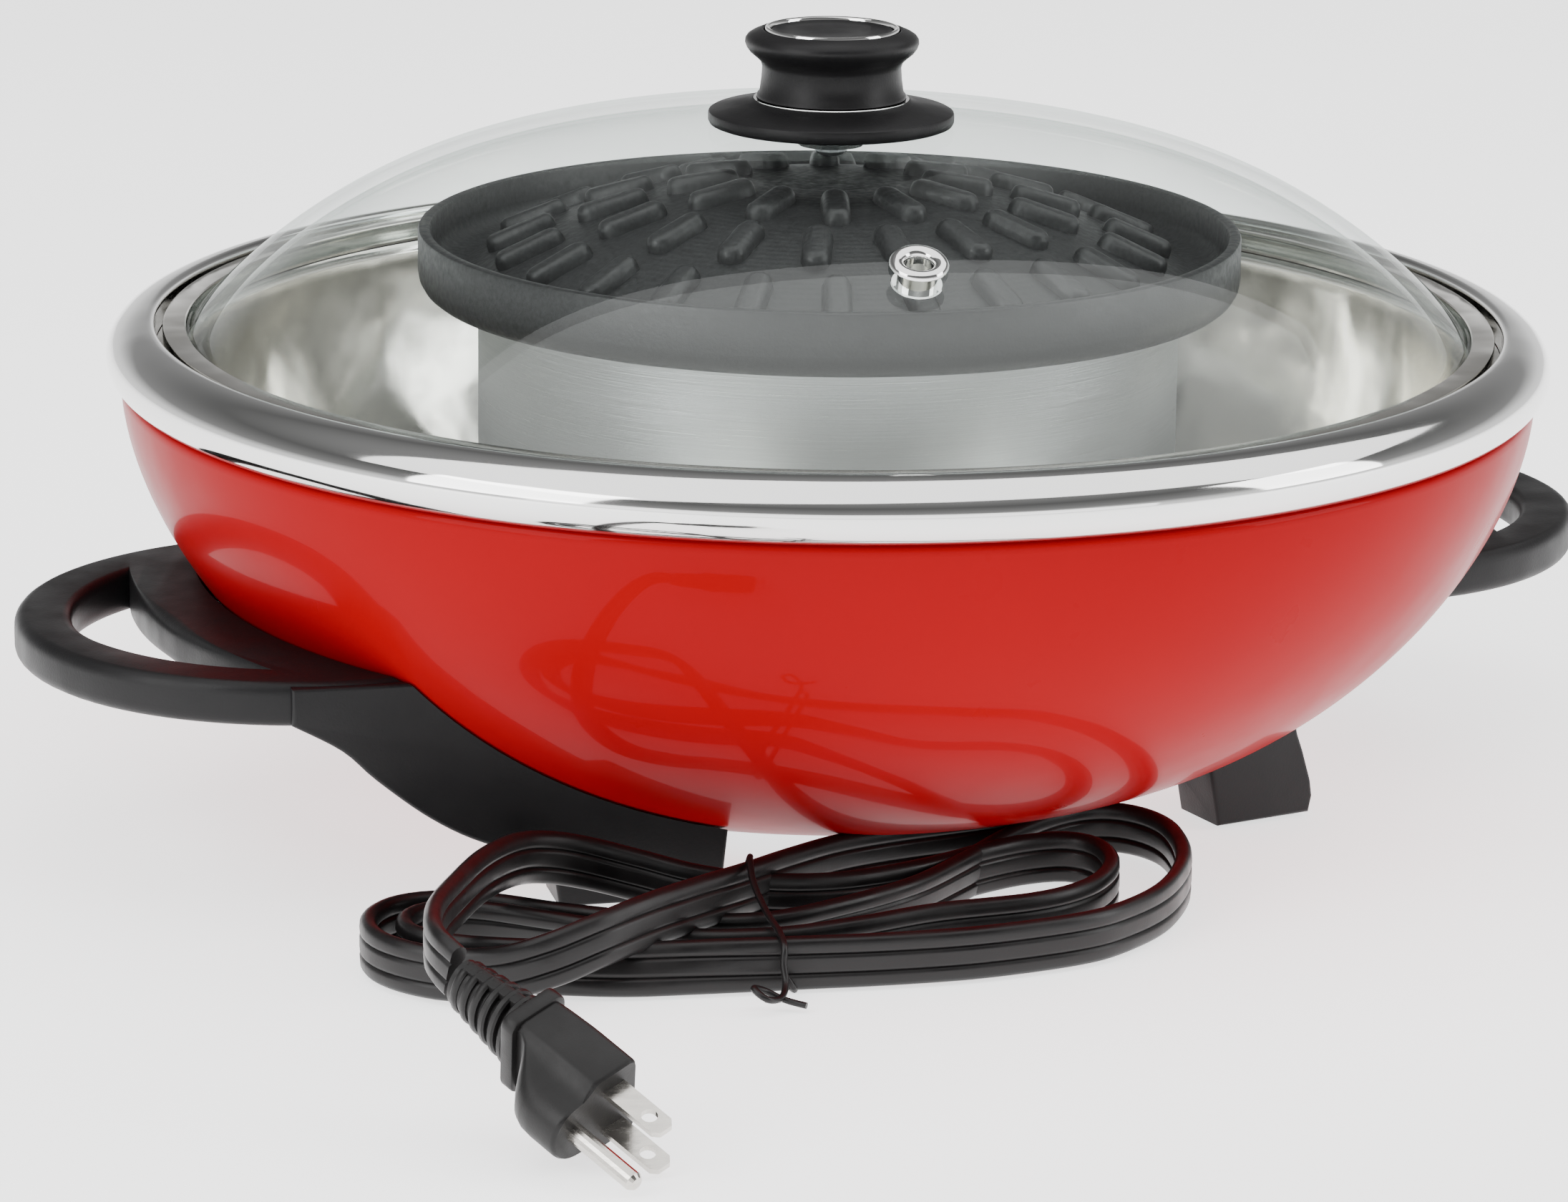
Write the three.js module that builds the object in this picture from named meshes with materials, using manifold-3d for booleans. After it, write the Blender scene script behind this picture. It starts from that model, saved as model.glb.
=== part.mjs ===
// An electric hot pot with a grill: a wide steel pot with a drum in its middle, a grill plate
// that lifts off the drum, a domed glass lid, two black loop handles that each run down to a
// foot, two more feet, a control box under the back, and a flat power cord tied in a hank.
// Millimetres, +Z up. The pot's axis is the Z axis, the table is z = 0, the handles lie on X,
// and the control box is on the +Y side.
import * as THREE from "three";
import { mergeVertices } from "three/addons/utils/BufferGeometryUtils.js";
import Module from "manifold-3d";

const wasm = await Module();
wasm.setup();

// ---- driving sizes -------------------------------------------------------------------------
const GAP = 0.3; // between two pieces that touch
const FIT = 0.5; // between two pieces that slide past each other
const TURN = 2 * Math.PI;
const ROUND = 40; // facets round the big turned pieces
const SMALL_ROUND = 16; // facets round the small ones

const SHEET = 1.0; // wall of the pressed steel pieces
const SHELL_FLAT_R = 85; // flat middle of the painted shell
const SHELL_BOTTOM_Z = 10;
const SHELL_TOP_R = 196;
const SHELL_SIDE_Z = 115.5; // where the shell's side ends and its neck begins
const SHELL_POWER = 1.7; // how square the shell's side is
const SHELL_NECK_IN = 2; // the neck's step inwards, under the rim
const FLANGE_Z = 125.5; // top of the pot's flange, where the lid rests
const RIM_R = 200; // widest radius of the bright rim
const RIM_Z = 123.9;
const RIM_HALF_WIDTH = 12;
const RIM_HALF_HEIGHT = 9.5;
const RIM_SHEET = 1.2;

const POT_FLOOR_R = 112; // flat floor of the pot
const POT_FLOOR_Z = 28;
const POT_WALL_R = 176.5;
const POT_POWER = 1.9;
const DRUM_R = 97.4; // the drum in the middle of the pot
const DRUM_TOP_Z = 139;
const DRUM_FOOT = 5; // flange that seats the drum on the pot's floor

const GLASS = 4; // thickness of the lid's glass
const GLASS_TOP_Z = 186;
const GLASS_POWER = 3.4; // how flat the dome is on top
const LID_R = 186; // outside of the lid's band
const BAND = 0.7; // sheet of the lid's band
const BAND_WIDTH = 8;
const LID_BORE = 4; // radius of the hole for the knob's screw
const VENT_AT_R = 121; // from the lid's middle to the steam vent
const VENT_TURN = -1.83; // direction of the vent from the X axis, in radians
const VENT_R = 7.8;
const VENT_BORE = 3.6;

const KNOB_BASE_R = 34;
const KNOB_EDGE = 3.5;
const KNOB_BASE_H = 7;
const KNOB_STEM_R = 19.8;
const KNOB_HEAD_R = 24;
const KNOB_H = 27.3; // from the glass to the top of the knob
const KNOB_RING_R = 18.6;
const KNOB_SCREW_R = 2.5;

const GRILL_R = 114;
const GRILL_TOP_Z = 157.5;
const GRILL_WALL = 3.5;
const GRILL_PLATE = 5;
const GRILL_GUTTER_Z = 146;
const GRILL_DOME_R = 101;
const GRILL_DOME_Z = 171;
const GRILL_SPIGOT = 8; // ring under the grill that finds the drum's mouth

const PAN_Z = 112; // reflector pan inside the drum
const PAN_RIM = 6;
const PAN_SHEET = 0.8;
const ELEMENT_R = 3.3; // sheath of the tubular heating elements
const GRILL_ELEMENT_R = 64;
const POT_ELEMENT_R = 112;
const LEAD_R = 1.6;
const COVER_R = 83;
const COVER_OPENING_R = 74;
const COVER_SCREW_AT_R = 79;
const COVER_SCREW_R = 1.5;

const LOOP_CENTRE_X = 154; // the handle's loop is part of an ellipse
const LOOP_A = 80;
const LOOP_B = 78;
const LOOP_BAR = 15.5;
const LOOP_Z = 53;
const LOOP_H = 12;
const LOOP_ROUND = 3;
const WEB_R = 195; // inner edge of the finger hole, round the pot
const ARM_W = 20;
const ARM_ROUND = 1;
const ARM_TURN = -12 * (Math.PI / 180); // the arm splays out towards the foot
const FOOT_IN = 19.5; // a foot block's reach from its screw, towards the pot's middle
const FOOT_OUT = 11.5; // and away from it
const FOOT_TURN = 4 * (Math.PI / 180);
const FOOT_X = 95;
const FOOT_Y = 83;
const FOOT_L = 43;
const FOOT_BOTTOM_Z = 0.8;
const PAD_R = 7;
const PAD_H = 2.6;
const FRAME_SCREW_R = 2;
const FRAME_HEAD_R = 3.8;

const BOX_HALF_W = 38; // the control box under the back of the pot
const BOX_FRONT_Y = 96;
const BOX_BACK_Y = 162;
const BOX_BOTTOM_Z = 2.5;
const BOX_TOP_Z = 44;
const BOX_WALL = 2;
const FACE = 2.5;
const DIAL_R = 16;
const DIAL_H = 13;
const DIAL_Z = 24;
const SHAFT_R = 3;
const SHAFT_IN = 6; // how far the shaft goes into the thermostat
const THERMOSTAT_D = 13;
const LENS_R = 4;
const LENS_X = 27;

const CORD_W = 14; // the flat three-core cord
const CORD_T = 4.5;
const HANK_Z = 1.4;
const HANK_H = 16;
const TIE = 1; // thickness of the tie
const TIE_L = 53; // inside length of the tie's loop
const PLUG_AT = [-180.2, -264.7, 13.9]; // middle of the plug's face
const PLUG_HEADING = -157 * (Math.PI / 180);
const PLUG_DIP = -21 * (Math.PI / 180);
const PLUG_ROLL = 19 * (Math.PI / 180);
const PLUG_L = 30;
const PLUG_HALF_H = 12;
const PLUG_HALF_W = 7;
const BLADE_PITCH = 12.7;
const BLADE_W = 6.35;
const BLADE_T = 1.5;
const BLADE_L = 17.5;
const PIN_OFFSET = 11.9;
const PIN_R = 2.4;
const PIN_L = 21;
const BOOT_L = 22;
const BOOT_RIBS = 6;
const BOOT_RIB = 2; // thickness of a rib
const BOOT_RIB_PITCH = 3.7;

// ---- materials -----------------------------------------------------------------------------
const look = (color, roughness, metalness) =>
  new THREE.MeshStandardMaterial({ color, roughness, metalness });
const redPaint = look(0xc4001a, 0.15, 0.1);
const chrome = look(0xd9dadb, 0.08, 1);
const polishedSteel = look(0xc9cac9, 0.15, 1);
const brushedSteel = look(0xb9bab8, 0.35, 1);
const galvanised = look(0x9ea1a3, 0.45, 1);
const castBlack = look(0x1c1c1e, 0.5, 0.3);
const blackPlastic = look(0x161616, 0.55, 0);
const whitePlastic = look(0xd8d5cc, 0.5, 0);
const rubber = look(0x1a1a1a, 0.85, 0);
const glass = look(0xdfeae6, 0.05, 0);
glass.transparent = true;
glass.opacity = 0.3;
const amber = look(0xd9641a, 0.2, 0);
const brass = look(0xb8954a, 0.35, 1);
const blackPvc = look(0x151515, 0.6, 0);
const leadBrown = look(0x5a3a22, 0.7, 0);
const leadBlue = look(0x2b4c8c, 0.7, 0);
const leadGreen = look(0x4d7a2e, 0.7, 0);

// ---- shape helpers -------------------------------------------------------------------------
const griddle = new THREE.Group();

// A closed geometry as a manifold-3d solid.
function solidOf(geometry) {
  const bare = geometry.index ? geometry.toNonIndexed() : geometry.clone();
  bare.deleteAttribute("normal");
  bare.deleteAttribute("uv");
  const merged = mergeVertices(bare, 1e-4);
  return new wasm.Manifold(
    new wasm.Mesh({
      numProp: 3,
      vertProperties: merged.attributes.position.array,
      triVerts: new Uint32Array(merged.index.array),
    }),
  );
}

function geometryOf(solid) {
  const mesh = solid.getMesh();
  const geometry = new THREE.BufferGeometry();
  const position = new THREE.BufferAttribute(mesh.vertProperties, 3);
  geometry.setAttribute("position", position);
  geometry.setIndex(new THREE.BufferAttribute(mesh.triVerts, 1));
  geometry.computeVertexNormals();
  return geometry;
}

function cut(geometry, ...tools) {
  let solid = solidOf(geometry);
  for (const tool of tools) solid = solid.subtract(solidOf(tool));
  return geometryOf(solid);
}

function join(geometry, ...others) {
  let solid = solidOf(geometry);
  for (const other of others) solid = solid.add(solidOf(other));
  return geometryOf(solid);
}

// Turns a closed outline of [radius, height] points about the Z axis.
function turned(outline, facets = ROUND) {
  let area = 0;
  outline.forEach(([r, z], i) => {
    const [nextR, nextZ] = outline[(i + 1) % outline.length];
    area += r * nextZ - nextR * z;
  });
  const ordered = area > 0 ? [...outline] : [...outline].reverse();
  ordered.push(ordered[0]);
  const profile = ordered.map(([r, z]) => new THREE.Vector2(r, z));
  return new THREE.LatheGeometry(profile, facets).rotateX(Math.PI / 2);
}

// The outline of a sheet: a path and the same path moved sideways by the sheet's thickness.
function sheetOutline(path, thickness) {
  const other = path.map(([r, z], i) => {
    const [beforeR, beforeZ] = path[Math.max(i - 1, 0)];
    const [afterR, afterZ] = path[Math.min(i + 1, path.length - 1)];
    const length = Math.hypot(afterR - beforeR, afterZ - beforeZ);
    const across = thickness / length;
    return [r - (afterZ - beforeZ) * across, z + (afterR - beforeR) * across];
  });
  return [...path, ...other.reverse()];
}

// A bowl's side from its flat floor up to its upright edge, as points of a superellipse.
function bowlSide(floorR, floorZ, sideR, sideZ, power, steps) {
  return Array.from({ length: steps + 1 }, (_, i) => {
    const turn = (i / steps) * (Math.PI / 2);
    const out = Math.sin(turn) ** (2 / power);
    const up = 1 - Math.cos(turn) ** (2 / power);
    return [floorR + (sideR - floorR) * out, floorZ + (sideZ - floorZ) * up];
  });
}

function tube(radius, from, to, facets = SMALL_ROUND) {
  const height = to - from;
  const cylinder = new THREE.CylinderGeometry(radius, radius, height, facets);
  return cylinder.rotateX(Math.PI / 2).translate(0, 0, from + height / 2);
}

function ring(outerR, innerR, from, to, facets = SMALL_ROUND) {
  const outline = [[innerR, from], [outerR, from], [outerR, to], [innerR, to]];
  return turned(outline, facets);
}

function block(width, depth, height, x, y, z) {
  return new THREE.BoxGeometry(width, depth, height).translate(x, y, z);
}

// A round or flat section drawn along a smooth curve through the points.
function drawn(points, halfUp, halfAcross, steps, quarter = 4) {
  const section = new THREE.Shape();
  section.absellipse(0, 0, halfUp, halfAcross, 0, TURN);
  const curve = new THREE.CatmullRomCurve3(points.map((p) => new THREE.Vector3(...p)));
  return new THREE.ExtrudeGeometry(section, {
    extrudePath: curve,
    steps,
    curveSegments: quarter,
  });
}

function add(name, geometry, material, parent = griddle) {
  const mesh = new THREE.Mesh(geometry, material);
  mesh.name = name;
  parent.add(mesh);
  return mesh;
}

// ---- painted shell, and the space it takes from its neighbours -----------------------------
const shellSide = bowlSide(
  SHELL_FLAT_R, SHELL_BOTTOM_Z, SHELL_TOP_R, SHELL_SIDE_Z, SHELL_POWER, 9,
);
const neckR = SHELL_TOP_R - SHELL_NECK_IN;
const shellTopZ = FLANGE_Z - SHEET - GAP;
const shellPath = [
  [COVER_OPENING_R, SHELL_BOTTOM_Z],
  ...shellSide,
  [neckR, SHELL_SIDE_Z + SHELL_NECK_IN],
  [neckR, shellTopZ],
];
const shellSpace = turned([
  [0, SHELL_BOTTOM_Z - FIT],
  ...shellSide.map(([r, z]) => [r + FIT, z - FIT]),
  [SHELL_TOP_R + FIT, FLANGE_Z],
  [0, FLANGE_Z],
]);
const footPlaces = [[1, 1], [-1, 1], [-1, -1], [1, -1]];
const coverScrewPlaces = footPlaces.map(([sx, sy]) => [
  sx * COVER_SCREW_AT_R * Math.SQRT1_2, sy * COVER_SCREW_AT_R * Math.SQRT1_2,
]);
const screwHole = (radius, x, y) =>
  tube(radius + GAP, 0, SHELL_BOTTOM_Z + 40, 12).translate(x, y, 0);
const wireHoleY = BOX_FRONT_Y + 22; // where the leads pass from the control box into the shell
const wireHole = tube(7, 0, 40).translate(0, wireHoleY, 0);
add(
  "outer_shell",
  cut(
    turned(sheetOutline(shellPath, SHEET)),
    wireHole,
    ...coverScrewPlaces.map(([x, y]) => screwHole(COVER_SCREW_R, x, y)),
    ...footPlaces.map(([sx, sy]) => screwHole(FRAME_SCREW_R, sx * FOOT_X, sy * FOOT_Y)),
  ),
  redPaint,
);

// ---- pot and drum --------------------------------------------------------------------------
const potSide = bowlSide(
  POT_FLOOR_R, POT_FLOOR_Z, POT_WALL_R, FLANGE_Z - 3, POT_POWER, 9,
);
const potPath = [
  [DRUM_R - DRUM_FOOT, POT_FLOOR_Z],
  ...potSide,
  [POT_WALL_R + 1, FLANGE_Z],
  [neckR + 1.4, FLANGE_Z],
];
const potUnder = sheetOutline(potPath, -SHEET);
add("pot", turned(potUnder), polishedSteel);

const drumFootZ = POT_FLOOR_Z + GAP;
const drumOutline = [
  [DRUM_R - SHEET, drumFootZ],
  [DRUM_R + DRUM_FOOT, drumFootZ],
  [DRUM_R + DRUM_FOOT, drumFootZ + SHEET],
  [DRUM_R, drumFootZ + SHEET],
  [DRUM_R, DRUM_TOP_Z],
  [DRUM_R - SHEET, DRUM_TOP_Z],
];
add("drum", turned(drumOutline), brushedSteel);

// ---- bright rim: half an ellipse of sheet, with its inner lip turned down ------------------
const rimCentreR = RIM_R - RIM_HALF_WIDTH;
const rimArc = (halfWidth, halfHeight) =>
  Array.from({ length: 8 }, (_, i) => {
    const turn = (-45 + (i / 7) * 135) * (Math.PI / 180);
    return [rimCentreR + halfWidth * Math.cos(turn), RIM_Z + halfHeight * Math.sin(turn)];
  });
const rimLipR = LID_R + FIT;
const rimOutline = [
  ...rimArc(RIM_HALF_WIDTH, RIM_HALF_HEIGHT),
  [rimLipR, RIM_Z + RIM_HALF_HEIGHT - 1.3],
  [rimLipR, FLANGE_Z + GAP],
  [rimLipR + RIM_SHEET, FLANGE_Z + GAP],
  ...rimArc(RIM_HALF_WIDTH - RIM_SHEET, RIM_HALF_HEIGHT - RIM_SHEET).reverse(),
];
add("rim", turned(rimOutline), chrome);

// ---- lid: glass, band, vent and knob -------------------------------------------------------
const bandBottomZ = FLANGE_Z + GAP;
const glassBottomZ = bandBottomZ + BAND + GAP;
const glassEdgeR = LID_R - BAND - GAP;
const bandTopZ = glassBottomZ + GLASS + GAP;
const domeR = LID_R - BAND_WIDTH - 1;
const domeZ = (r) =>
  glassBottomZ + GLASS + (GLASS_TOP_Z - glassBottomZ - GLASS) * (1 - (r / domeR) ** GLASS_POWER);
const DOME_STEPS = 8;
const domeTop = Array.from({ length: DOME_STEPS + 1 }, (_, i) => {
  const r = domeR * Math.sin(((i + 0.3) / (DOME_STEPS + 0.3)) * (Math.PI / 2));
  return [r, domeZ(r)];
});
domeTop[0] = [LID_BORE, domeZ(LID_BORE)];
const domeUnder = sheetOutline([...domeTop].reverse(), GLASS).slice(domeTop.length);
domeUnder[0] = [LID_BORE, domeUnder[0][1]];
const glassOutline = [
  ...domeTop,
  [glassEdgeR, glassBottomZ + GLASS],
  [glassEdgeR, glassBottomZ],
  ...domeUnder.filter(([r, z]) => z > glassBottomZ + 1).reverse(),
];
// The vent stands square on the facet of the dome that it goes through.
const ventFacet = domeTop.findIndex(([r]) => r > VENT_AT_R);
const [facetIn, facetOut] = [domeTop[ventFacet - 1], domeTop[ventFacet]];
const ventSlope = Math.atan2(facetIn[1] - facetOut[1], facetOut[0] - facetIn[0]);
const ventFrame = new THREE.Object3D();
ventFrame.rotation.order = "ZYX";
ventFrame.rotation.set(0, ventSlope, VENT_TURN);
ventFrame.position.set(
  VENT_AT_R * Math.cos(VENT_TURN),
  VENT_AT_R * Math.sin(VENT_TURN),
  facetIn[1] - (VENT_AT_R - facetIn[0]) * Math.tan(ventSlope),
);
ventFrame.updateMatrixWorld();
const ventNeckR = VENT_R - 2.5;
const ventHole = tube(ventNeckR + GAP, -15, 15).applyMatrix4(ventFrame.matrixWorld);
add("lid_glass", cut(turned(glassOutline), ventHole), glass);

const bandInnerR = LID_R - BAND_WIDTH;
const bandOutline = [
  [bandInnerR, bandBottomZ],
  [LID_R, bandBottomZ],
  [LID_R, bandTopZ + BAND],
  [bandInnerR, bandTopZ + BAND],
  [bandInnerR, bandTopZ],
  [LID_R - BAND, bandTopZ],
  [LID_R - BAND, bandBottomZ + BAND],
  [bandInnerR, bandBottomZ + BAND],
];
add("lid_band", turned(bandOutline), polishedSteel);

const eyeletOutline = [
  [VENT_BORE, -GLASS - 1.6],
  [VENT_R - 1, -GLASS - 1.6],
  [VENT_R - 1, -GLASS - 0.6],
  [ventNeckR, -GLASS - 0.6],
  [ventNeckR, 0.9],
  [VENT_R, 0.9],
  [VENT_R - 0.5, 2.2],
  [VENT_R - 2, 2.7],
  [VENT_BORE, 1.8],
];
add("vent_eyelet", turned(eyeletOutline, SMALL_ROUND).applyMatrix4(ventFrame.matrixWorld), chrome);

const knobZ = GLASS_TOP_Z + GAP;
const stemZ = knobZ + KNOB_BASE_H;
const knobTopZ = GLASS_TOP_Z + KNOB_H;
const knobEdgeZ = knobTopZ - 4; // the widest part of the knob's head
const boreR = KNOB_SCREW_R + GAP;
add(
  "knob_base",
  turned([
    [boreR, knobZ], [KNOB_BASE_R - 1, knobZ], [KNOB_BASE_R, knobZ + 1],
    [KNOB_BASE_R, knobZ + KNOB_EDGE], [KNOB_STEM_R + 3, stemZ - 1], [KNOB_STEM_R + 2, stemZ],
    [boreR, stemZ],
  ], 24),
  blackPlastic,
);
const gripFootZ = stemZ + GAP;
const socketFloorZ = knobTopZ - 3;
const screwTopZ = gripFootZ + 11;
add(
  "knob_grip",
  turned([
    [boreR, gripFootZ], [KNOB_STEM_R + 0.8, gripFootZ], [KNOB_STEM_R, gripFootZ + 1.5],
    [KNOB_STEM_R - 0.6, knobEdgeZ - 7], [KNOB_STEM_R + 0.6, knobEdgeZ - 4.5],
    [KNOB_HEAD_R - 1, knobEdgeZ - 1.6], [KNOB_HEAD_R, knobEdgeZ],
    [KNOB_HEAD_R - 1, knobEdgeZ + 1.6],
    [KNOB_RING_R + 1.5, knobTopZ - 0.8], [KNOB_RING_R + GAP, knobTopZ - 0.6],
    [KNOB_RING_R + GAP, socketFloorZ], [0, socketFloorZ], [0, screwTopZ + GAP],
    [boreR, screwTopZ + GAP],
  ], 24),
  blackPlastic,
);
add(
  "knob_ring",
  turned([
    [KNOB_RING_R - 1.6, socketFloorZ + GAP], [KNOB_RING_R, socketFloorZ + GAP],
    [KNOB_RING_R, knobTopZ - 0.4], [KNOB_RING_R - 0.8, knobTopZ],
    [KNOB_RING_R - 1.6, knobTopZ - 0.4],
  ], 24),
  chrome,
);
const insertR = KNOB_RING_R - 1.6 - GAP;
add(
  "knob_insert",
  turned([
    [0, socketFloorZ + GAP], [insertR, socketFloorZ + GAP], [insertR, knobTopZ - 0.9],
    [insertR * 0.7, knobTopZ - 1.7], [insertR * 0.35, knobTopZ - 2.0], [0, knobTopZ - 2.1],
  ], 32),
  blackPlastic,
);
const glassUnderZ = GLASS_TOP_Z - GLASS;
const washerBottomZ = glassUnderZ - GAP - 1.2;
add("knob_washer", ring(9, boreR, washerBottomZ, glassUnderZ - GAP), rubber);
const screwHeadZ = washerBottomZ - GAP;
add(
  "knob_screw",
  turned([
    [0, screwHeadZ - 2.4], [3.4, screwHeadZ - 2.4], [4.6, screwHeadZ - 1.2], [4.6, screwHeadZ],
    [KNOB_SCREW_R, screwHeadZ], [KNOB_SCREW_R, screwTopZ], [0, screwTopZ],
  ], 12),
  galvanised,
);

// ---- grill plate ---------------------------------------------------------------------------
const domeHeight = (r) =>
  GRILL_GUTTER_Z + (GRILL_DOME_Z - GRILL_GUTTER_Z) * (1 - (r / GRILL_DOME_R) ** 2.1);
const grillRadii = Array.from({ length: 8 }, (_, i) => (GRILL_DOME_R * i) / 7);
const seatZ = DRUM_TOP_Z + GAP;
const spigotR = DRUM_R - SHEET - FIT;
const wallInR = GRILL_R - GRILL_WALL;
const underRadii = [0, 20, 40, 55, 70, 82];
add(
  "grill_plate",
  turned([
    ...grillRadii.map((r) => [r, domeHeight(r)]),
    [wallInR - 5, GRILL_GUTTER_Z],
    [wallInR - 1, GRILL_GUTTER_Z + 2],
    [wallInR, GRILL_TOP_Z - 0.8],
    [wallInR + 1, GRILL_TOP_Z],
    [GRILL_R - 1, GRILL_TOP_Z],
    [GRILL_R, GRILL_TOP_Z - 1],
    [GRILL_R, seatZ + 6],
    [GRILL_R - 2, seatZ + 2],
    [GRILL_R - 6, seatZ],
    [spigotR, seatZ],
    [spigotR, seatZ - GRILL_SPIGOT],
    [spigotR - 3, seatZ - GRILL_SPIGOT],
    [spigotR - 3.5, seatZ],
    ...underRadii.map((r) => [r, domeHeight(r) - GRILL_PLATE]).reverse(),
  ]),
  castBlack,
);

// ---- heating, inside the drum and under the pot's floor -------------------------------------
const panR = DRUM_R - SHEET - GAP;
const panPath = [[0, PAN_Z], [panR - PAN_RIM, PAN_Z], [panR, PAN_Z + PAN_RIM]];
add("reflector_pan", turned(sheetOutline(panPath, PAN_SHEET)), galvanised);

// A heating element: nearly a full circle, open at the back where its terminals are.
function elementLoop(radius, z) {
  const open = 0.12;
  const points = Array.from({ length: 25 }, (_, i) => {
    const turn = open + (i / 24) * (TURN - 2 * open) + Math.PI / 2;
    return [radius * Math.cos(turn), radius * Math.sin(turn), z];
  });
  return drawn(points, ELEMENT_R, ELEMENT_R, 40, 3);
}
const grillElementZ = PAN_Z + PAN_SHEET + GAP + ELEMENT_R;
const potElementZ = POT_FLOOR_Z - SHEET - GAP - ELEMENT_R;
add("grill_element", elementLoop(GRILL_ELEMENT_R, grillElementZ), galvanised);
add("pot_element", elementLoop(POT_ELEMENT_R, potElementZ), galvanised);

const coverTopZ = SHELL_BOTTOM_Z - GAP;
const coverHoles = coverScrewPlaces.map(([x, y]) => screwHole(COVER_SCREW_R, x, y));
const coverPlate = tube(COVER_R, coverTopZ - SHEET, coverTopZ, ROUND);
add("bottom_cover", cut(coverPlate, ...coverHoles), galvanised);
const coverHeadZ = coverTopZ - SHEET - GAP;
const coverScrewTopZ = SHELL_BOTTOM_Z + 7;
coverScrewPlaces.forEach(([x, y], i) => {
  const screw = turned([
    [0, coverHeadZ - 1.6], [2, coverHeadZ - 1.6], [2.8, coverHeadZ],
    [COVER_SCREW_R, coverHeadZ], [COVER_SCREW_R, coverScrewTopZ], [0, coverScrewTopZ],
  ], 12);
  add("cover_screw_" + (i + 1), screw, galvanised).position.set(x, y, 0);
});

const terminalZ = coverTopZ + GAP;
add(
  "terminal_block",
  join(
    block(46, 20, 8, 0, 40, terminalZ + 4),
    ...[-15, 0, 15].map((x) => block(10, 16, 8, x, 40, terminalZ + 10)), // a clamp per lead
  ),
  whitePlastic,
);
const terminalTopZ = terminalZ + 14;

// ---- leads: from the control box through the shell to the terminals -------------------------
const boxFloorZ = BOX_BOTTOM_Z + BOX_WALL;
const leads = [["live", -15, leadBrown], ["earth", 0, leadGreen], ["neutral", 15, leadBlue]];
leads.forEach(([wire, x, material]) => {
  const holeX = x * 0.24;
  const path = [
    [x, 42, terminalTopZ + GAP + LEAD_R], [x + 0.5, 52, terminalTopZ + 4],
    [x * 0.6 + 0.5, 75, 21], [holeX + 0.3, 100, 18.5], [holeX, wireHoleY - 4, 20.5],
    [holeX, wireHoleY, 18], [holeX, wireHoleY + 0.5, 10],
    [holeX + 0.3, wireHoleY + 5, boxFloorZ + LEAD_R + 0.8],
  ];
  add(wire + "_lead", drawn(path, LEAD_R, LEAD_R, 16, 3), material);
});

// ---- handle frames: loop, arm and foot in one moulding, cut to fit under the shell ---------
const loopOutline = new THREE.Shape();
loopOutline.absellipse(LOOP_CENTRE_X, 0, LOOP_A - LOOP_ROUND, LOOP_B - LOOP_ROUND, -1.75, 1.75);
loopOutline.closePath();
const holeA = LOOP_A - LOOP_BAR + LOOP_ROUND;
const holeB = LOOP_B - LOOP_BAR + LOOP_ROUND;
const webR = WEB_R - LOOP_ROUND;
// The two curves of the finger hole meet where the web's circle crosses the hole's ellipse.
let cornerTurn = 0;
const webInside = (turn) =>
  ((webR * Math.cos(turn) - LOOP_CENTRE_X) / holeA) ** 2 + ((webR * Math.sin(turn)) / holeB) ** 2;
while (webInside(cornerTurn) < 1) cornerTurn += 0.001;
const cornerX = webR * Math.cos(cornerTurn);
const cornerY = webR * Math.sin(cornerTurn);
const holeTurn = Math.atan2(cornerY / holeB, (cornerX - LOOP_CENTRE_X) / holeA);
const fingerHole = new THREE.Path();
fingerHole.absellipse(LOOP_CENTRE_X, 0, holeA, holeB, -holeTurn, holeTurn);
fingerHole.absarc(0, 0, webR, cornerTurn, -cornerTurn, true);
loopOutline.holes.push(fingerHole);
const loopPlate = new THREE.ExtrudeGeometry(loopOutline, {
  depth: LOOP_H - 2 * LOOP_ROUND,
  bevelThickness: LOOP_ROUND,
  bevelSize: LOOP_ROUND,
  bevelSegments: 1,
  curveSegments: 12,
}).translate(0, 0, LOOP_Z + LOOP_ROUND);

// The arm's side view: the foot's block, then the S-shaped underside up to the loop.
const armOutline = new THREE.Shape();
armOutline.moveTo(-FOOT_L / 2 + 1, FOOT_BOTTOM_Z + ARM_ROUND);
armOutline.lineTo(FOOT_L / 2, FOOT_BOTTOM_Z + ARM_ROUND);
armOutline.lineTo(FOOT_L / 2 + 3, 14.4);
armOutline.splineThru([
  new THREE.Vector2(42, 19), new THREE.Vector2(56, 27), new THREE.Vector2(70, 38),
  new THREE.Vector2(79, 46.5), new THREE.Vector2(90, LOOP_Z + 1),
]);
armOutline.lineTo(90, LOOP_Z + LOOP_H - 1);
armOutline.lineTo(40, LOOP_Z + LOOP_H - 1);
armOutline.lineTo(-FOOT_L / 2 - 2, 30);
armOutline.closePath();
function arm(side) {
  const slab = new THREE.ExtrudeGeometry(armOutline, {
    depth: ARM_W - 2 * ARM_ROUND,
    bevelThickness: ARM_ROUND,
    bevelSize: ARM_ROUND,
    bevelSegments: 1,
    curveSegments: 6,
  });
  slab.rotateX(Math.PI / 2).translate(0, ARM_W / 2 - ARM_ROUND, 0);
  return slab.rotateZ(side * ARM_TURN).translate(FOOT_X, side * FOOT_Y, 0);
}
const padTopZ = PAD_H;
const screwSeatZ = padTopZ + GAP + 3.4;
const footCuts = [1, -1].flatMap((side) => [
  tube(PAD_R + GAP, -5, padTopZ + GAP).translate(FOOT_X, side * FOOT_Y, 0),
  tube(FRAME_HEAD_R + FIT, -5, screwSeatZ).translate(FOOT_X, side * FOOT_Y, 0),
  tube(FRAME_SCREW_R + GAP, -5, 60, 12).translate(FOOT_X, side * FOOT_Y, 0),
]);
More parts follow.
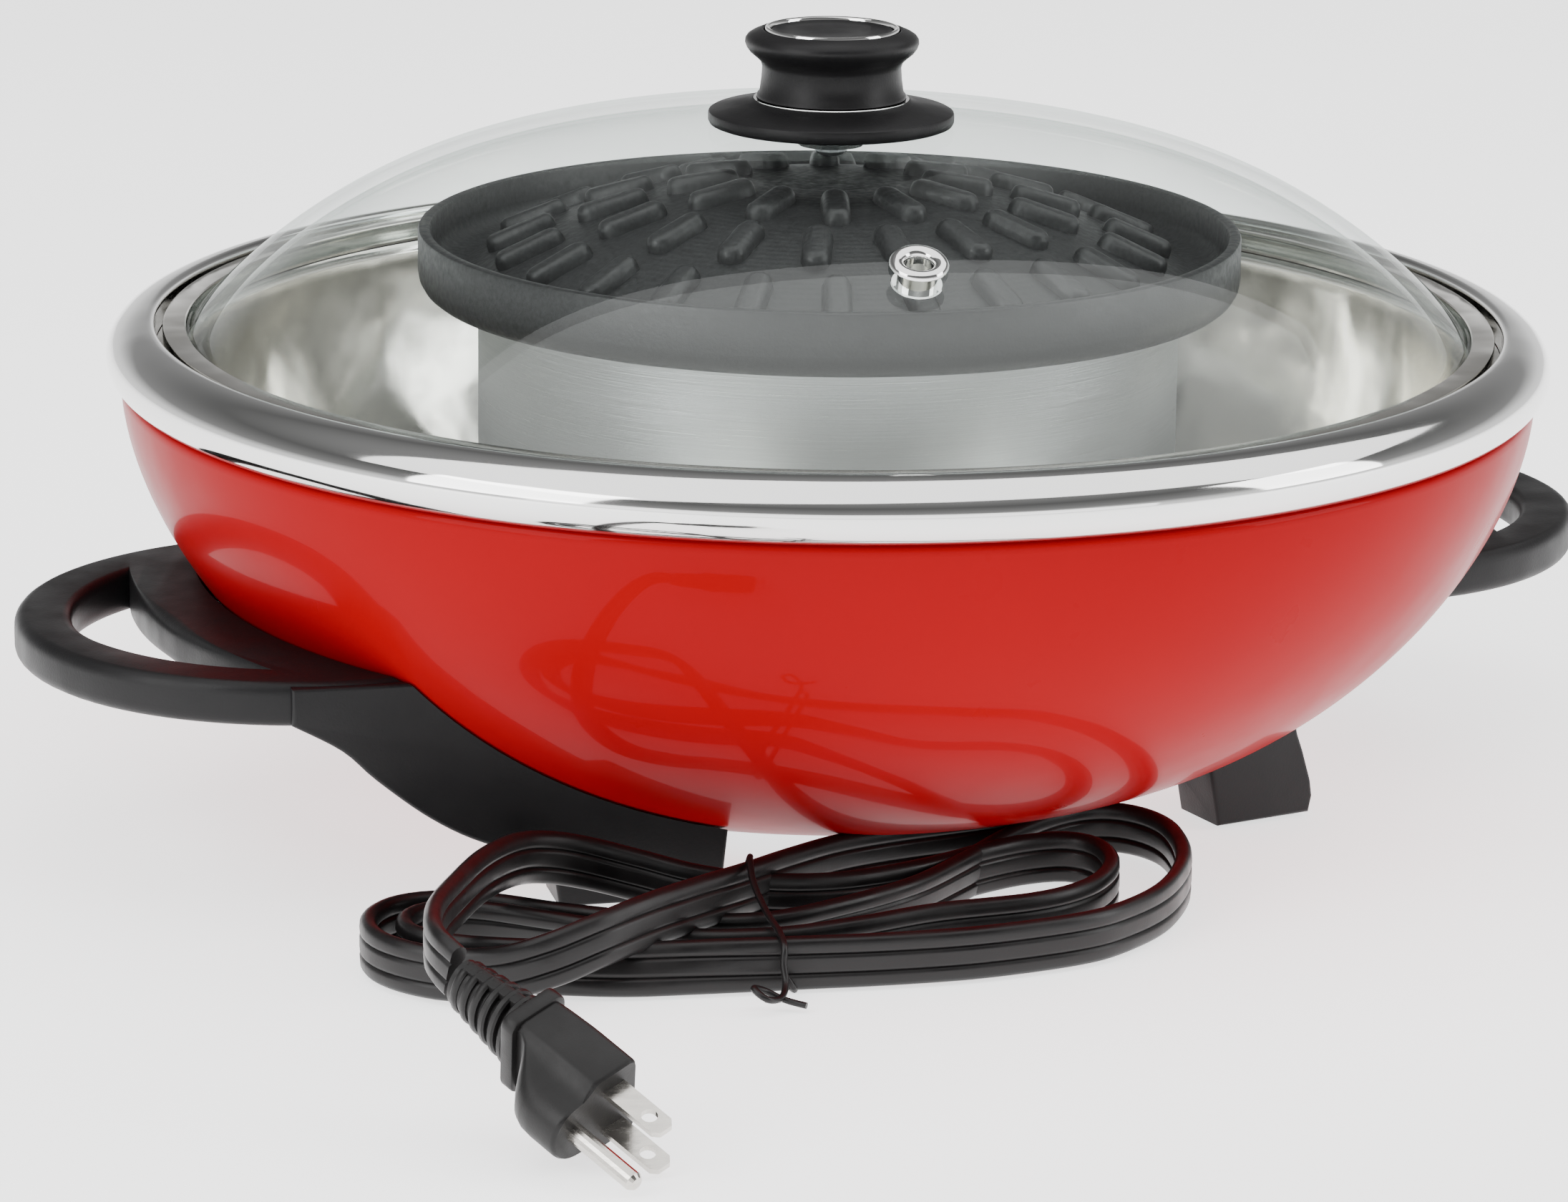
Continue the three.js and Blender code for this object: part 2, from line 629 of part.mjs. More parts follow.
const frameShape = cut(join(loopPlate, arm(1)), shellSpace, ...footCuts);
add("handle_frame_right", frameShape, blackPlastic);
add("handle_frame_left", frameShape.clone(), blackPlastic).rotation.z = Math.PI;

// The other two feet are short blocks that lean in under the shell.
const blockOutline = new THREE.Shape();
blockOutline.moveTo(1 - FOOT_IN, FOOT_BOTTOM_Z + ARM_ROUND);
blockOutline.lineTo(FOOT_OUT - 2, FOOT_BOTTOM_Z + ARM_ROUND);
blockOutline.lineTo(FOOT_OUT, 5.5);
blockOutline.lineTo(FOOT_OUT - 2, 14);
blockOutline.lineTo(FOOT_OUT - 5.5, 24);
blockOutline.lineTo(FOOT_OUT - 9, 40);
blockOutline.lineTo(-FOOT_IN - 5, 40);
blockOutline.lineTo(-FOOT_IN - 3, 16);
blockOutline.closePath();
const footBlock = new THREE.ExtrudeGeometry(blockOutline, {
  depth: ARM_W - 2 * ARM_ROUND,
  bevelThickness: ARM_ROUND,
  bevelSize: ARM_ROUND,
  bevelSegments: 1,
});
footBlock.rotateX(Math.PI / 2).translate(0, ARM_W / 2 - ARM_ROUND, 0);
footBlock.rotateZ(FOOT_TURN).translate(FOOT_X, -FOOT_Y, 0);
const footShape = cut(footBlock, shellSpace, ...footCuts);
add("foot_block_right", footShape, blackPlastic);
add("foot_block_left", footShape.clone(), blackPlastic).rotation.z = Math.PI;

const frameHeadZ = screwSeatZ - GAP;
const frameScrewTopZ = SHELL_BOTTOM_Z + 14;
footPlaces.forEach(([sx, sy], i) => {
  const pad = add("foot_pad_" + (i + 1), tube(PAD_R, 0, PAD_H), rubber);
  pad.position.set(sx * FOOT_X, sy * FOOT_Y, 0);
  const screw = turned([
    [0, frameHeadZ - 2.6], [FRAME_HEAD_R, frameHeadZ - 2.6], [FRAME_HEAD_R, frameHeadZ],
    [FRAME_SCREW_R, frameHeadZ], [FRAME_SCREW_R, frameScrewTopZ], [0, frameScrewTopZ],
  ], 12);
  add("frame_screw_" + (i + 1), screw, galvanised).position.set(sx * FOOT_X, sy * FOOT_Y, 0);
});

// ---- control box under the back ------------------------------------------------------------
const boxL = BOX_BACK_Y - BOX_FRONT_Y;
const boxH = BOX_TOP_Z - BOX_BOTTOM_Z;
const boxMiddleY = (BOX_FRONT_Y + BOX_BACK_Y) / 2;
const boxMiddleZ = (BOX_TOP_Z + BOX_BOTTOM_Z) / 2;
const glandHalfW = CORD_W / 2 + 2.2;
const glandZ = BOX_BOTTOM_Z + 3.7;
const glandHalfH = 3;
const boxHollow = block(
  2 * (BOX_HALF_W - BOX_WALL), boxL, boxH, 0, boxMiddleY + BOX_WALL, boxMiddleZ + BOX_WALL,
);
const glandHole = block(
  2 * (glandHalfW + GAP), 4 * BOX_WALL, 2 * (glandHalfH + GAP), 0, BOX_FRONT_Y, glandZ,
);
add(
  "control_box",
  cut(
    block(2 * BOX_HALF_W, boxL, boxH, 0, boxMiddleY, boxMiddleZ),
    boxHollow, shellSpace, glandHole,
  ),
  blackPlastic,
);
const faceY = BOX_BACK_Y + GAP;
const alongY = (shape, x, z) => shape.rotateX(-Math.PI / 2).translate(x, faceY, z);
add(
  "control_face",
  cut(
    block(2 * BOX_HALF_W, FACE, boxH, 0, faceY + FACE / 2, boxMiddleZ),
    alongY(tube(SHAFT_R + FIT, -5, 5 + FACE), 0, DIAL_Z),
    alongY(tube(LENS_R + GAP, -5, 5 + FACE), LENS_X, DIAL_Z),
  ),
  blackPlastic,
);
const dialFrom = FACE + FIT;
add(
  "dial",
  alongY(
    join(
      turned([
        [0, dialFrom], [DIAL_R, dialFrom], [DIAL_R, dialFrom + 3], [DIAL_R - 2, dialFrom + 4],
        [DIAL_R - 3, dialFrom + 8], [0, dialFrom + 8],
      ], 32),
      block(6, 2 * DIAL_R - 6, 6, 0, 0, dialFrom + DIAL_H - 3),
    ),
    0, DIAL_Z,
  ),
  blackPlastic,
);
add("dial_shaft", alongY(tube(SHAFT_R, -SHAFT_IN, dialFrom - GAP), 0, DIAL_Z), brass);
add(
  "thermostat",
  cut(
    block(30, THERMOSTAT_D, 22, 0, faceY - 2 * GAP - THERMOSTAT_D / 2, DIAL_Z),
    alongY(tube(SHAFT_R + FIT, -SHAFT_IN - 1, 5), 0, DIAL_Z),
  ),
  whitePlastic,
);
add("pilot_lens", alongY(tube(LENS_R, -4, FACE + 1.4), LENS_X, DIAL_Z), amber);

const glandFrontY = BOX_FRONT_Y - 9;
add(
  "cord_gland",
  cut(
    join(
      block(2 * glandHalfW, 9 + 3, 2 * glandHalfH, 0, (glandFrontY + BOX_FRONT_Y + 3) / 2, glandZ),
      block(2 * glandHalfW + 3, 2, 2 * glandHalfH, 0, BOX_FRONT_Y - 1 - GAP, glandZ),
    ),
    block(CORD_W + 2 * GAP, 40, CORD_T + 2 * GAP, 0, BOX_FRONT_Y, glandZ),
  ),
  rubber,
);

// ---- cord: a lead under the pot, a tied hank in front, and a tail up to the plug ------------
add(
  "cord_lead",
  drawn(
    [
      [0, glandFrontY + 6, glandZ], [0.3, glandFrontY - 2, glandZ], [1, 70, 3.7], [6, 45, 2.7],
      [16, 10, 2.7], [30, -25, 2.7], [40, -55, 2.7], [42, -78, 3], [37, -100, 4],
      [22.5, -129.2, 4.6],
    ],
    CORD_T / 2, CORD_W / 2, 32,
  ),
  blackPvc,
);

// The hank seen from above: two round ends, and sides that bow towards the front.
const hankOutline = new THREE.Shape();
hankOutline.absarc(-157, -126, 20, 1.15, 4.1, false);
hankOutline.quadraticCurveTo(-85, -186, 9, -180);
hankOutline.absarc(13, -154, 26, -1.7, 1.5, false);
hankOutline.quadraticCurveTo(-70, -140, -148.8, -107.7);
add(
  "cord_hank",
  new THREE.ExtrudeGeometry(hankOutline, {
    depth: HANK_H,
    bevelEnabled: false,
    curveSegments: 10,
  }).translate(0, 0, HANK_Z),
  blackPvc,
);

add(
  "cord_tail",
  drawn(
    [
      [-199.8, -218.7, 33.7], [-201.6, -211, 36.4], [-199, -200, 36.8], [-190, -180, 34],
      [-176, -156, 30], [-158, -131, 27.5], [-139, -111, 25.5], [-124, -103, 20],
      [-112, -104, 13.5], [-107, -111, 10.5], [-106, -118.3, 9.4],
    ],
    CORD_W / 2, CORD_T / 2, 32,
  ),
  blackPvc,
);

// The tie goes once round the hank, and its twisted ends stand out in front.
const tieFrontY = -TIE_L / 2;
const tieLoop = cut(
  block(2.6, TIE_L + 2 * TIE, HANK_H + 2 * (GAP + TIE), 0, 0, 0),
  block(5, TIE_L, HANK_H + 2 * GAP, 0, 0, 0),
);
const tieKnot = drawn(
  [[0, tieFrontY - 0.5, -4], [1, tieFrontY - 5, -5], [-6, tieFrontY - 9, -6]],
  TIE, TIE, 8,
);
const tie = add("twist_tie", join(tieLoop, tieKnot), rubber);
tie.rotation.z = 0.24;
tie.position.set(-86, -149.5, HANK_Z + HANK_H / 2);

// ---- plug: it lies nose down, on its side -----------------------------------------------------
const plug = new THREE.Group();
plug.position.set(...PLUG_AT);
plug.rotation.order = "ZXY";
plug.rotation.set(PLUG_DIP, PLUG_ROLL, PLUG_HEADING);
griddle.add(plug);

const plugOutline = new THREE.Shape();
plugOutline.moveTo(-PLUG_HALF_W, -PLUG_HALF_H);
plugOutline.lineTo(PLUG_HALF_W - 1, -PLUG_HALF_H);
plugOutline.lineTo(PLUG_HALF_W, -PLUG_HALF_H + 2);
plugOutline.absarc(PIN_OFFSET - 1, 0, 8, -1.45, 1.45, false);
plugOutline.lineTo(PLUG_HALF_W, PLUG_HALF_H - 2);
plugOutline.lineTo(PLUG_HALF_W - 1, PLUG_HALF_H);
plugOutline.lineTo(-PLUG_HALF_W, PLUG_HALF_H);
plugOutline.closePath();
const plugNose = new THREE.ExtrudeGeometry(plugOutline, {
  depth: PLUG_L * 0.62,
  bevelEnabled: false,
  curveSegments: 10,
}).rotateX(Math.PI / 2);
const plugBack = block(2 * PLUG_HALF_W, PLUG_L, 2 * PLUG_HALF_H - 3, 0, -PLUG_L / 2, 0);
const collar = block(2 * PLUG_HALF_W + 3, 4, 2 * PLUG_HALF_H, 0, -PLUG_L + 2, 0);
const bladeIn = 7; // how far the blades and the pin go into the plug
const bladeSlot = (side) =>
  block(BLADE_W + 2 * GAP, 2 * (bladeIn + 1), BLADE_T + 2 * GAP, 0, 0, (side * BLADE_PITCH) / 2);
add(
  "plug_body",
  cut(
    join(plugNose, plugBack, collar),
    bladeSlot(1),
    bladeSlot(-1),
    tube(PIN_R + GAP, -8, 8).rotateX(-Math.PI / 2).translate(PIN_OFFSET, 0, 0),
  ),
  blackPvc,
  plug,
);
const bladeShape = new THREE.Shape();
bladeShape.moveTo(-BLADE_W / 2, -bladeIn);
bladeShape.lineTo(BLADE_W / 2, -bladeIn);
bladeShape.lineTo(BLADE_W / 2, BLADE_L - 1.6);
bladeShape.lineTo(BLADE_W / 2 - 1.4, BLADE_L);
bladeShape.lineTo(-BLADE_W / 2 + 1.4, BLADE_L);
bladeShape.lineTo(-BLADE_W / 2, BLADE_L - 1.6);
bladeShape.closePath();
const bladeHole = new THREE.Path();
bladeHole.absarc(0, BLADE_L - 5.6, 1.98, 0, TURN, true);
bladeShape.holes.push(bladeHole);
[["plug_blade_upper", 1], ["plug_blade_lower", -1]].forEach(([name, side]) => {
  const blade = new THREE.ExtrudeGeometry(bladeShape, {
    depth: BLADE_T,
    bevelEnabled: false,
    curveSegments: 8,
  });
  add(name, blade, polishedSteel, plug).position.z = (side * BLADE_PITCH - BLADE_T) / 2;
});
add(
  "plug_ground_pin",
  turned([
    [0, -bladeIn], [PIN_R, -bladeIn], [PIN_R, PIN_L - 1.4], [PIN_R - 0.7, PIN_L - 0.3],
    [0, PIN_L],
  ], SMALL_ROUND).rotateX(-Math.PI / 2),
  polishedSteel,
  plug,
).position.x = PIN_OFFSET;

// The boot is a core with ribs that get smaller towards the cord.
const bootFrom = -PLUG_L - GAP;
const bootDisc = (scale, length, from) => {
  const section = new THREE.Shape();
  section.absellipse(0, 0, (PLUG_HALF_W + 1) * scale, (PLUG_HALF_H - 1) * scale, 0, TURN);
  return new THREE.ExtrudeGeometry(section, {
    depth: length,
    bevelEnabled: false,
    curveSegments: 5,
  }).rotateX(Math.PI / 2).translate(0, bootFrom - from, 0);
};
const ribs = Array.from({ length: BOOT_RIBS }, (_, i) =>
  bootDisc(1 - i * 0.05, BOOT_RIB, i * BOOT_RIB_PITCH));
add("plug_boot", join(bootDisc(0.7, BOOT_L - 0.4, 0.2), ...ribs), blackPvc, plug);

export default griddle;
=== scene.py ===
import math

import bmesh
import bpy
from mathutils import Matrix, Vector


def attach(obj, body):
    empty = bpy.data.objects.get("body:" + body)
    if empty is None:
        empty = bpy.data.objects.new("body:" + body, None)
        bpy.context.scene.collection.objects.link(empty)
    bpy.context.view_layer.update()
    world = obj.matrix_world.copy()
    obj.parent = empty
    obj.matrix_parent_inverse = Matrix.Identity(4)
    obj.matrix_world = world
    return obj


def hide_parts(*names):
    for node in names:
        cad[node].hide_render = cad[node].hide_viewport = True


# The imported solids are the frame: every size here is in its millimetres, times MM.
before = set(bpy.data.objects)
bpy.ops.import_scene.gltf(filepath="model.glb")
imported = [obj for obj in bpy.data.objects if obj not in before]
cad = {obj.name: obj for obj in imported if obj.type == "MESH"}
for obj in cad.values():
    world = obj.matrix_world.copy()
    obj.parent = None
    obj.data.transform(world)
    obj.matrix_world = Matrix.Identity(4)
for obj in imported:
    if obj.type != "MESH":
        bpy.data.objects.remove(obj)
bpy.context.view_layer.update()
MM = 0.001

# ---- camera -------------------------------------------------------------------------------
# A long lens, a little above the lid's height, off to the pot's left.
VIEW_TURN = math.radians(-25.4)
VIEW_DIP = math.radians(15.16)
VIEW_ROLL = math.radians(0.7)


def linked(name, data):
    """An object for a mesh, curve, light or camera, put in the scene."""
    made = bpy.data.objects.new(name, data)
    bpy.context.scene.collection.objects.link(made)
    return made


camera = linked("camera", bpy.data.cameras.new("camera"))
bpy.context.scene.camera = camera
camera.data.sensor_width = 36
camera.data.lens = 131.4
camera.data.clip_start = 0.05
camera.data.clip_end = 60
camera.matrix_world = (
    Matrix.Translation((-0.679, -1.4035, 0.472))
    @ Matrix.Rotation(VIEW_TURN, 4, "Z")
    @ Matrix.Rotation(math.pi / 2 - VIEW_DIP, 4, "X")
    @ Matrix.Rotation(VIEW_ROLL, 4, "Z")
)


# ---- power cord ---------------------------------------------------------------------------
# A flat three-core cord of black PVC with two grooves along each face. It comes forward under
# the pot, is wound into a tied hank, and rises to the plug.
class Wire:
    """One output of a material's node, so that its maths reads as plain sums."""

    def __init__(self, finish, socket):
        self.finish = finish
        self.socket = socket

    def sum(self, operation, first, second):
        return self.finish.node("Math", {"operation": operation}, {0: first, 1: second})

    def __add__(self, other):
        return self.sum("ADD", self, other)

    def __radd__(self, other):
        return self.sum("ADD", other, self)

    def __mul__(self, other):
        return self.sum("MULTIPLY", self, other)

    def __rmul__(self, other):
        return self.sum("MULTIPLY", other, self)

    def __pow__(self, other):
        return self.sum("POWER", self, other)


class Finish:
    """A material with one Principled shader, and a method that adds any other node."""

    def __init__(self, name, colour, roughness, metallic=0.0, **sockets):
        self.material = bpy.data.materials.new(name)
        self.material.use_nodes = True
        self.tree = self.material.node_tree
        self.shader = self.tree.nodes["Principled BSDF"]
        self.set("Base Color", (*colour, 1.0))
        self.set("Roughness", roughness)
        self.set("Metallic", metallic)
        for socket, value in sockets.items():
            self.set(socket.replace("_", " "), value)

    def node(self, kind, settings=None, inputs=None, output=0):
        made = self.tree.nodes.new("ShaderNode" + kind)
        for key, value in (settings or {}).items():
            setattr(made, key, value)
        for key, value in (inputs or {}).items():
            self.feed(made.inputs[key], value)
        return Wire(self, made.outputs[output])

    def feed(self, socket, value):
        if isinstance(value, Wire):
            self.tree.links.new(value.socket, socket)
        else:
            socket.default_value = value

    def set(self, socket, value):
        self.feed(self.shader.inputs[socket], value)

    def at(self, stretch=(1, 1, 1)):
        """The piece's own coordinates in metres, stretched along each axis."""
        place = self.node("TexCoord", output="Object")
        return self.node("Mapping", {}, {"Vector": place, "Scale": stretch})

    def noise(self, scale, detail=3.0, rough=0.5, stretch=(1, 1, 1)):
        return self.node("TexNoise", {}, {
            "Vector": self.at(stretch), "Scale": scale, "Detail": detail, "Roughness": rough,
        })

    def between(self, factor, low, high):
        """A number that runs from low to high as factor runs from 0.3 to 0.7."""
        return self.node("MapRange", {}, {
            "Value": factor, "From Min": 0.3, "From Max": 0.7, "To Min": low, "To Max": high,
        })

    def tint(self, factor, first, second):
        return self.node("Mix", {"data_type": "RGBA"}, {
            0: factor, 6: (*first, 1.0), 7: (*second, 1.0),
        }, output=2)

    def bump(self, height, depth, strength=1.0):
        self.set("Normal", self.node("Bump", {}, {
            "Height": height, "Distance": depth, "Strength": strength,
        }))


def mesh_of(name, verts, faces):
    """A plain mesh from vertices in millimetres."""
    mesh = bpy.data.meshes.new(name)
    mesh.from_pydata([tuple(c * MM for c in v) for v in verts], [], faces)
    return mesh


def solid(name, verts, faces, finish, body, slot, stands_for=(), sharp=40):
    """Makes a piece from vertices in millimetres, smooth except along its sharp edges."""
    return settle(name, mesh_of(name, verts, faces), finish, body, stands_for, sharp)


def settle(name, mesh, finish, body, stands_for=(), sharp=40):
    """Closes a mesh, turns its faces outwards, and puts it on its body with its finish."""
    shape = bmesh.new()
    shape.from_mesh(mesh)
    bmesh.ops.remove_doubles(shape, verts=shape.verts, dist=1e-6)
    bmesh.ops.dissolve_degenerate(shape, dist=1e-7, edges=shape.edges)
    bmesh.ops.recalc_face_normals(shape, faces=shape.faces)
    for face in shape.faces:
        face.smooth = True
    for edge in shape.edges:
        edge.smooth = edge.calc_face_angle(math.pi) < math.radians(sharp)
    shape.to_mesh(mesh)
    shape.free()
    mesh.materials.clear()
    mesh.materials.append(finish.material)
    piece = linked(name, mesh)
    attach(piece, body)
    if stands_for:
        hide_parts(*stands_for)
    return piece


def smooth_line(points, step):
    """A smooth line through the points, with a point about every step, for any extra numbers too."""
    line = []
    for i in range(len(points) - 1):
        p0, p1 = points[max(i - 1, 0)], points[i]
        p2, p3 = points[i + 1], points[min(i + 2, len(points) - 1)]
        count = max(1, round(math.dist(p1[:3], p2[:3]) / step))
        for k in range(count):
            t = k / count
            line.append([
                0.5 * (2 * b + (c - a) * t + (2 * a - 5 * b + 4 * c - d) * t ** 2
                       + (3 * b - a - 3 * c + d) * t ** 3)
                for a, b, c, d in zip(p0, p1, p2, p3)
            ])
    return line + [list(points[-1])]


def tube_faces(rings, n):
    """The faces of a closed tube: so many rings of n points, and a cap at each end."""
    sides = [
        (i * n + k, i * n + (k + 1) % n, (i + 1) * n + (k + 1) % n, (i + 1) * n + k)
        for i in range(rings - 1) for k in range(n)
    ]
    return [*sides, tuple(range(n)), tuple(range((rings - 1) * n, rings * n))]


def swept(line, section):
    """A closed tube: the section's points along the line. A line point ends with its lean in
    degrees, 0 where the section's long side stands up and 90 where it lies flat."""
    verts = []
    for i, point in enumerate(line):
        before, after = line[max(i - 1, 0)], line[min(i + 1, len(line) - 1)]
        along = (Vector(after[:3]) - Vector(before[:3])).normalized()
        side = along.cross(Vector((0, 0, 1))).normalized()
        up = side.cross(along)
        lean = math.radians(point[3])
        broad = up * math.cos(lean) + side * math.sin(lean)
        thin = broad.cross(along)
        verts += [Vector(point[:3]) + broad * a + thin * b for a, b in section]
    return verts, tube_faces(len(line), len(section))


pvc = Finish("cord_pvc", (0.006, 0.0055, 0.006), 0.38, Specular_IOR_Level=0.3)
pvc_cloud = pvc.noise(90, 4)
pvc.set("Roughness", pvc.between(pvc_cloud, 0.3, 0.46))
pvc.set("Base Color", pvc.tint(pvc_cloud, (0.004, 0.0036, 0.004), (0.009, 0.008, 0.008)))
pvc.bump(pvc.noise(1400, 2), 0.00004, 0.5)

CORD_WIDE = 14.0
CORD_THICK = 4.5
CORE_AT = 2.5  # the grooves run this far each side of the middle
GROOVE = 0.75
CORD_LIFT = 0.15  # the cord's edge stays this far above the table
half_wide, half_thick = CORD_WIDE / 2, CORD_THICK / 2
cord_top = [
    (half_wide - half_thick * (1 - math.cos(a)), half_thick * math.sin(a))
    for a in (0.0, 0.35, 0.75, 1.2)
]
cord_face = [
    *cord_top, (CORE_AT + 1.2, half_thick), (CORE_AT + 0.55, half_thick - 0.12),
    (CORE_AT, half_thick - GROOVE), (CORE_AT - 0.55, half_thick - 0.12),
    (CORE_AT - 1.2, half_thick),
]
cord_upper = cord_face + [(-a, b) for a, b in reversed(cord_face)]
cord_section = cord_upper + [(a, -b) for a, b in reversed(cord_upper[1:-1])]

# x, y, z and lean of the cord's middle line, from the gland to the plug's boot.
cord_run = [
    (0, 93, 6.2, 90), (0, 84, 5.6, 90), (1, 70, 3.4, 90), (6, 45, 2.6, 90),
    (16, 10, 2.6, 90), (30, -25, 2.6, 90), (40, -55, 2.7, 88), (41, -76, 4.2, 65),
    (32, -91, 6.8, 30), (15, -99, 8.6, 5), (-5, -101, 9.2, 0), (-29, -103, 9.8, 0),
    (-49, -110, 11.5, 0), (-68, -121, 13.4, 0), (-87, -134.5, 15.8, 0),
    (-105, -145.3, 17.4, 4), (-122, -154.5, 18.2, 8), (-138.5, -161, 17, 8),
    (-151, -160.5, 13.4, 4), (-162, -154.5, 9.4, 0), (-173, -145, 7.6, 0),
    (-181, -133, 7.3, 0), (-183.5, -121, 7.3, 0), (-180, -109, 7.3, 0),
    (-171, -101, 7.3, 0), (-159, -99.5, 7.3, 8), (-145, -104, 7.0, 22), (-128, -115, 6.4, 38),
    (-108, -130, 6.2, 42), (-87, -144, 6.8, 30), (-66, -144.5, 7.2, 16), (-41, -138, 7.4, 8),
    (-20, -125.5, 7.4, 4), (2, -110, 7.3, 2), (22, -100, 7.3, 0), (36, -99.5, 7.3, 0),
    (44, -108, 7.3, 0), (45, -123, 7.3, 0), (36, -146, 7.3, 0), (19.5, -166, 7.3, 0),
    (1.4, -177.5, 7.3, 0), (-15, -182, 7.3, 0), (-42, -181.5, 7.3, 0), (-66, -177, 7.3, 0),
    (-90, -170, 7.2, 4), (-113, -162.5, 6.8, 18), (-130, -156.5, 6.4, 28), (-146, -148.5, 6.6, 20),
    (-159, -141, 7.0, 8), (-169, -133, 7.3, 0), (-174, -123, 7.3, 0), (-172, -113.5, 7.3, 0),
    (-164, -108.5, 7.3, 0), (-152, -111, 7.3, 10), (-136, -121.5, 6.8, 28), (-112, -142, 6.3, 40),
    (-90, -157, 6.8, 26), (-68, -161, 7.2, 10), (-45, -160.5, 7.4, 2), (-18, -162.5, 7.3, 0),
    (-2, -159, 7.3, 0), (9.5, -151, 7.3, 0), (17.5, -140, 7.3, 0), (20, -127.5, 7.3, 0),
    (15, -119.5, 7.3, 0), (5, -117.5, 7.3, 0), (-8, -119.5, 7.4, 0), (-34, -127, 7.6, 2),
    (-58, -130.5, 8.4, 4), (-78, -128.5, 10.2, 2), (-94, -121.5, 12.4, 0), (-106, -113, 15.2, 0),
    (-118, -107, 18.4, 0), (-130, -107.5, 21.8, 0), (-142, -114, 24.6, 0), (-158, -131, 27.4, 0),
    (-176, -156, 30, 0), (-190, -180, 34, 0), (-199, -200, 36.8, 0), (-201.4, -210, 36.6, 0),
    (-200.2, -217.2, 34.6, 0),
]
cord_line = smooth_line(cord_run, 3.0)
for spot in cord_line:
    reach = (half_wide - half_thick) * math.cos(math.radians(spot[3])) + half_thick
    spot[2] = max(spot[2], reach + CORD_LIFT)
power_cord = solid(
    "power_cord", *swept(cord_line, cord_section), pvc, "base", "black_pvc",
    ["cord_lead", "cord_hank", "cord_tail"], sharp=50,
)
cord_length = sum(
    math.dist(a[:3], b[:3]) for a, b in zip(cord_line, cord_line[1:])
) * MM

# ---- twist tie ----------------------------------------------------------------------------
# A thin black plastic-covered wire, once round the hank, with its two ends twisted in front.
TIE_R, TIE_SIDES = 0.9, 8
tie_round = [
    (TIE_R * math.cos(a), TIE_R * math.sin(a))
    for a in (i * math.tau / TIE_SIDES for i in range(TIE_SIDES))
]
tie_run = [
    (-94.5, -175.6, 6.5, 0), (-92, -176.2, 2.4, 0), (-89.5, -165, 0.95, 0), (-85.5, -145, 0.95, 0),
    (-80.5, -125, 1.0, 0), (-79.6, -122.8, 5, 0), (-80.4, -123.2, 13, 0), (-82.5, -127, 18.6, 0),
    (-84.5, -133, 23.6, 0), (-86.4, -137, 23.9, 0), (-88.5, -144, 20.2, 0), (-90.5, -156, 16.6, 0),
    (-92.5, -168, 15.2, 0), (-94, -174.2, 13.2, 0), (-94.9, -175.8, 9, 0), (-95.5, -178.5, 5, 0),
    (-99, -183, 3.2, 0), (-104, -185.5, 4.4, 0), (-106, -182, 6.4, 0), (-102, -180, 4.6, 0),
    (-97.5, -182.5, 2.4, 0), (-93.5, -186.5, 1.6, 0),
]
twist_wire = solid(
    "twist_wire", *swept(smooth_line(tie_run, 1.2), tie_round), pvc, "base", "black_pvc",
    ["twist_tie"], sharp=60,
)

# ---- plug ---------------------------------------------------------------------------------
# A three-pin mains plug moulded in black PVC, with a half-round lobe over the earth pin, a
# collar, and a ribbed boot. It lies nose down, on its side.
PLUG_AT = Vector((-180.2, -264.7, 13.9))
PLUG_HEADING, PLUG_DIP, PLUG_ROLL = -157, -21, 19
PLUG_L, PLUG_HALF_H, PLUG_HALF_W = 30.0, 12.0, 7.0
EARTH_AT = 11.9
plug_frame = (
    Matrix.Translation(PLUG_AT)
    @ Matrix.Rotation(math.radians(PLUG_HEADING), 4, "Z")
    @ Matrix.Rotation(math.radians(PLUG_DIP), 4, "X")
    @ Matrix.Rotation(math.radians(PLUG_ROLL), 4, "Y")
)
moulded = Finish("plug_pvc", (0.006, 0.0055, 0.0055), 0.4, Specular_IOR_Level=0.25)
moulded.set("Roughness", moulded.between(moulded.noise(120, 4), 0.33, 0.5))
moulded.bump(moulded.noise(1900, 2), 0.00005, 0.6)


def placed(shape_verts, turn):
    return [turn @ Vector(v) for v in shape_verts]


def lofted(sections):
    """A closed body through like outlines: each is a list of points in space."""
    return [p for s in sections for p in s], tube_faces(len(sections), len(sections[0]))


def plug_section(y, scale, lobe):
    """The plug's outline across its length at y: a rounded block and the earth pin's lobe."""
    w, h, r = PLUG_HALF_W * scale, PLUG_HALF_H * scale, 2.2 * scale
    corner = [
        (w - r + r * math.sin(math.radians(a)), -h + r - r * math.cos(math.radians(a)))
        for a in (0, 30, 60)
    ]
    bulge = [
        (w + (EARTH_AT + 7 - w) * lobe * math.cos(math.radians(a)) ** 0.6,
         ((1 - lobe) * h * 0.9 + lobe * 8.2) * math.sin(math.radians(a)))
        for a in range(-85, 86, 10)
    ]
    lobe_side = corner + bulge + [(x, -z) for x, z in reversed(corner)]
    flat_side = [
        (-w + r - r * math.sin(math.radians(a)), h - r + r * math.cos(math.radians(a)))
        for a in (0, 22.5, 45, 67.5, 90)
    ]
    flat_side += [(x, -z) for x, z in reversed(flat_side)]
    return [(x, y, z) for x, z in lobe_side + flat_side]


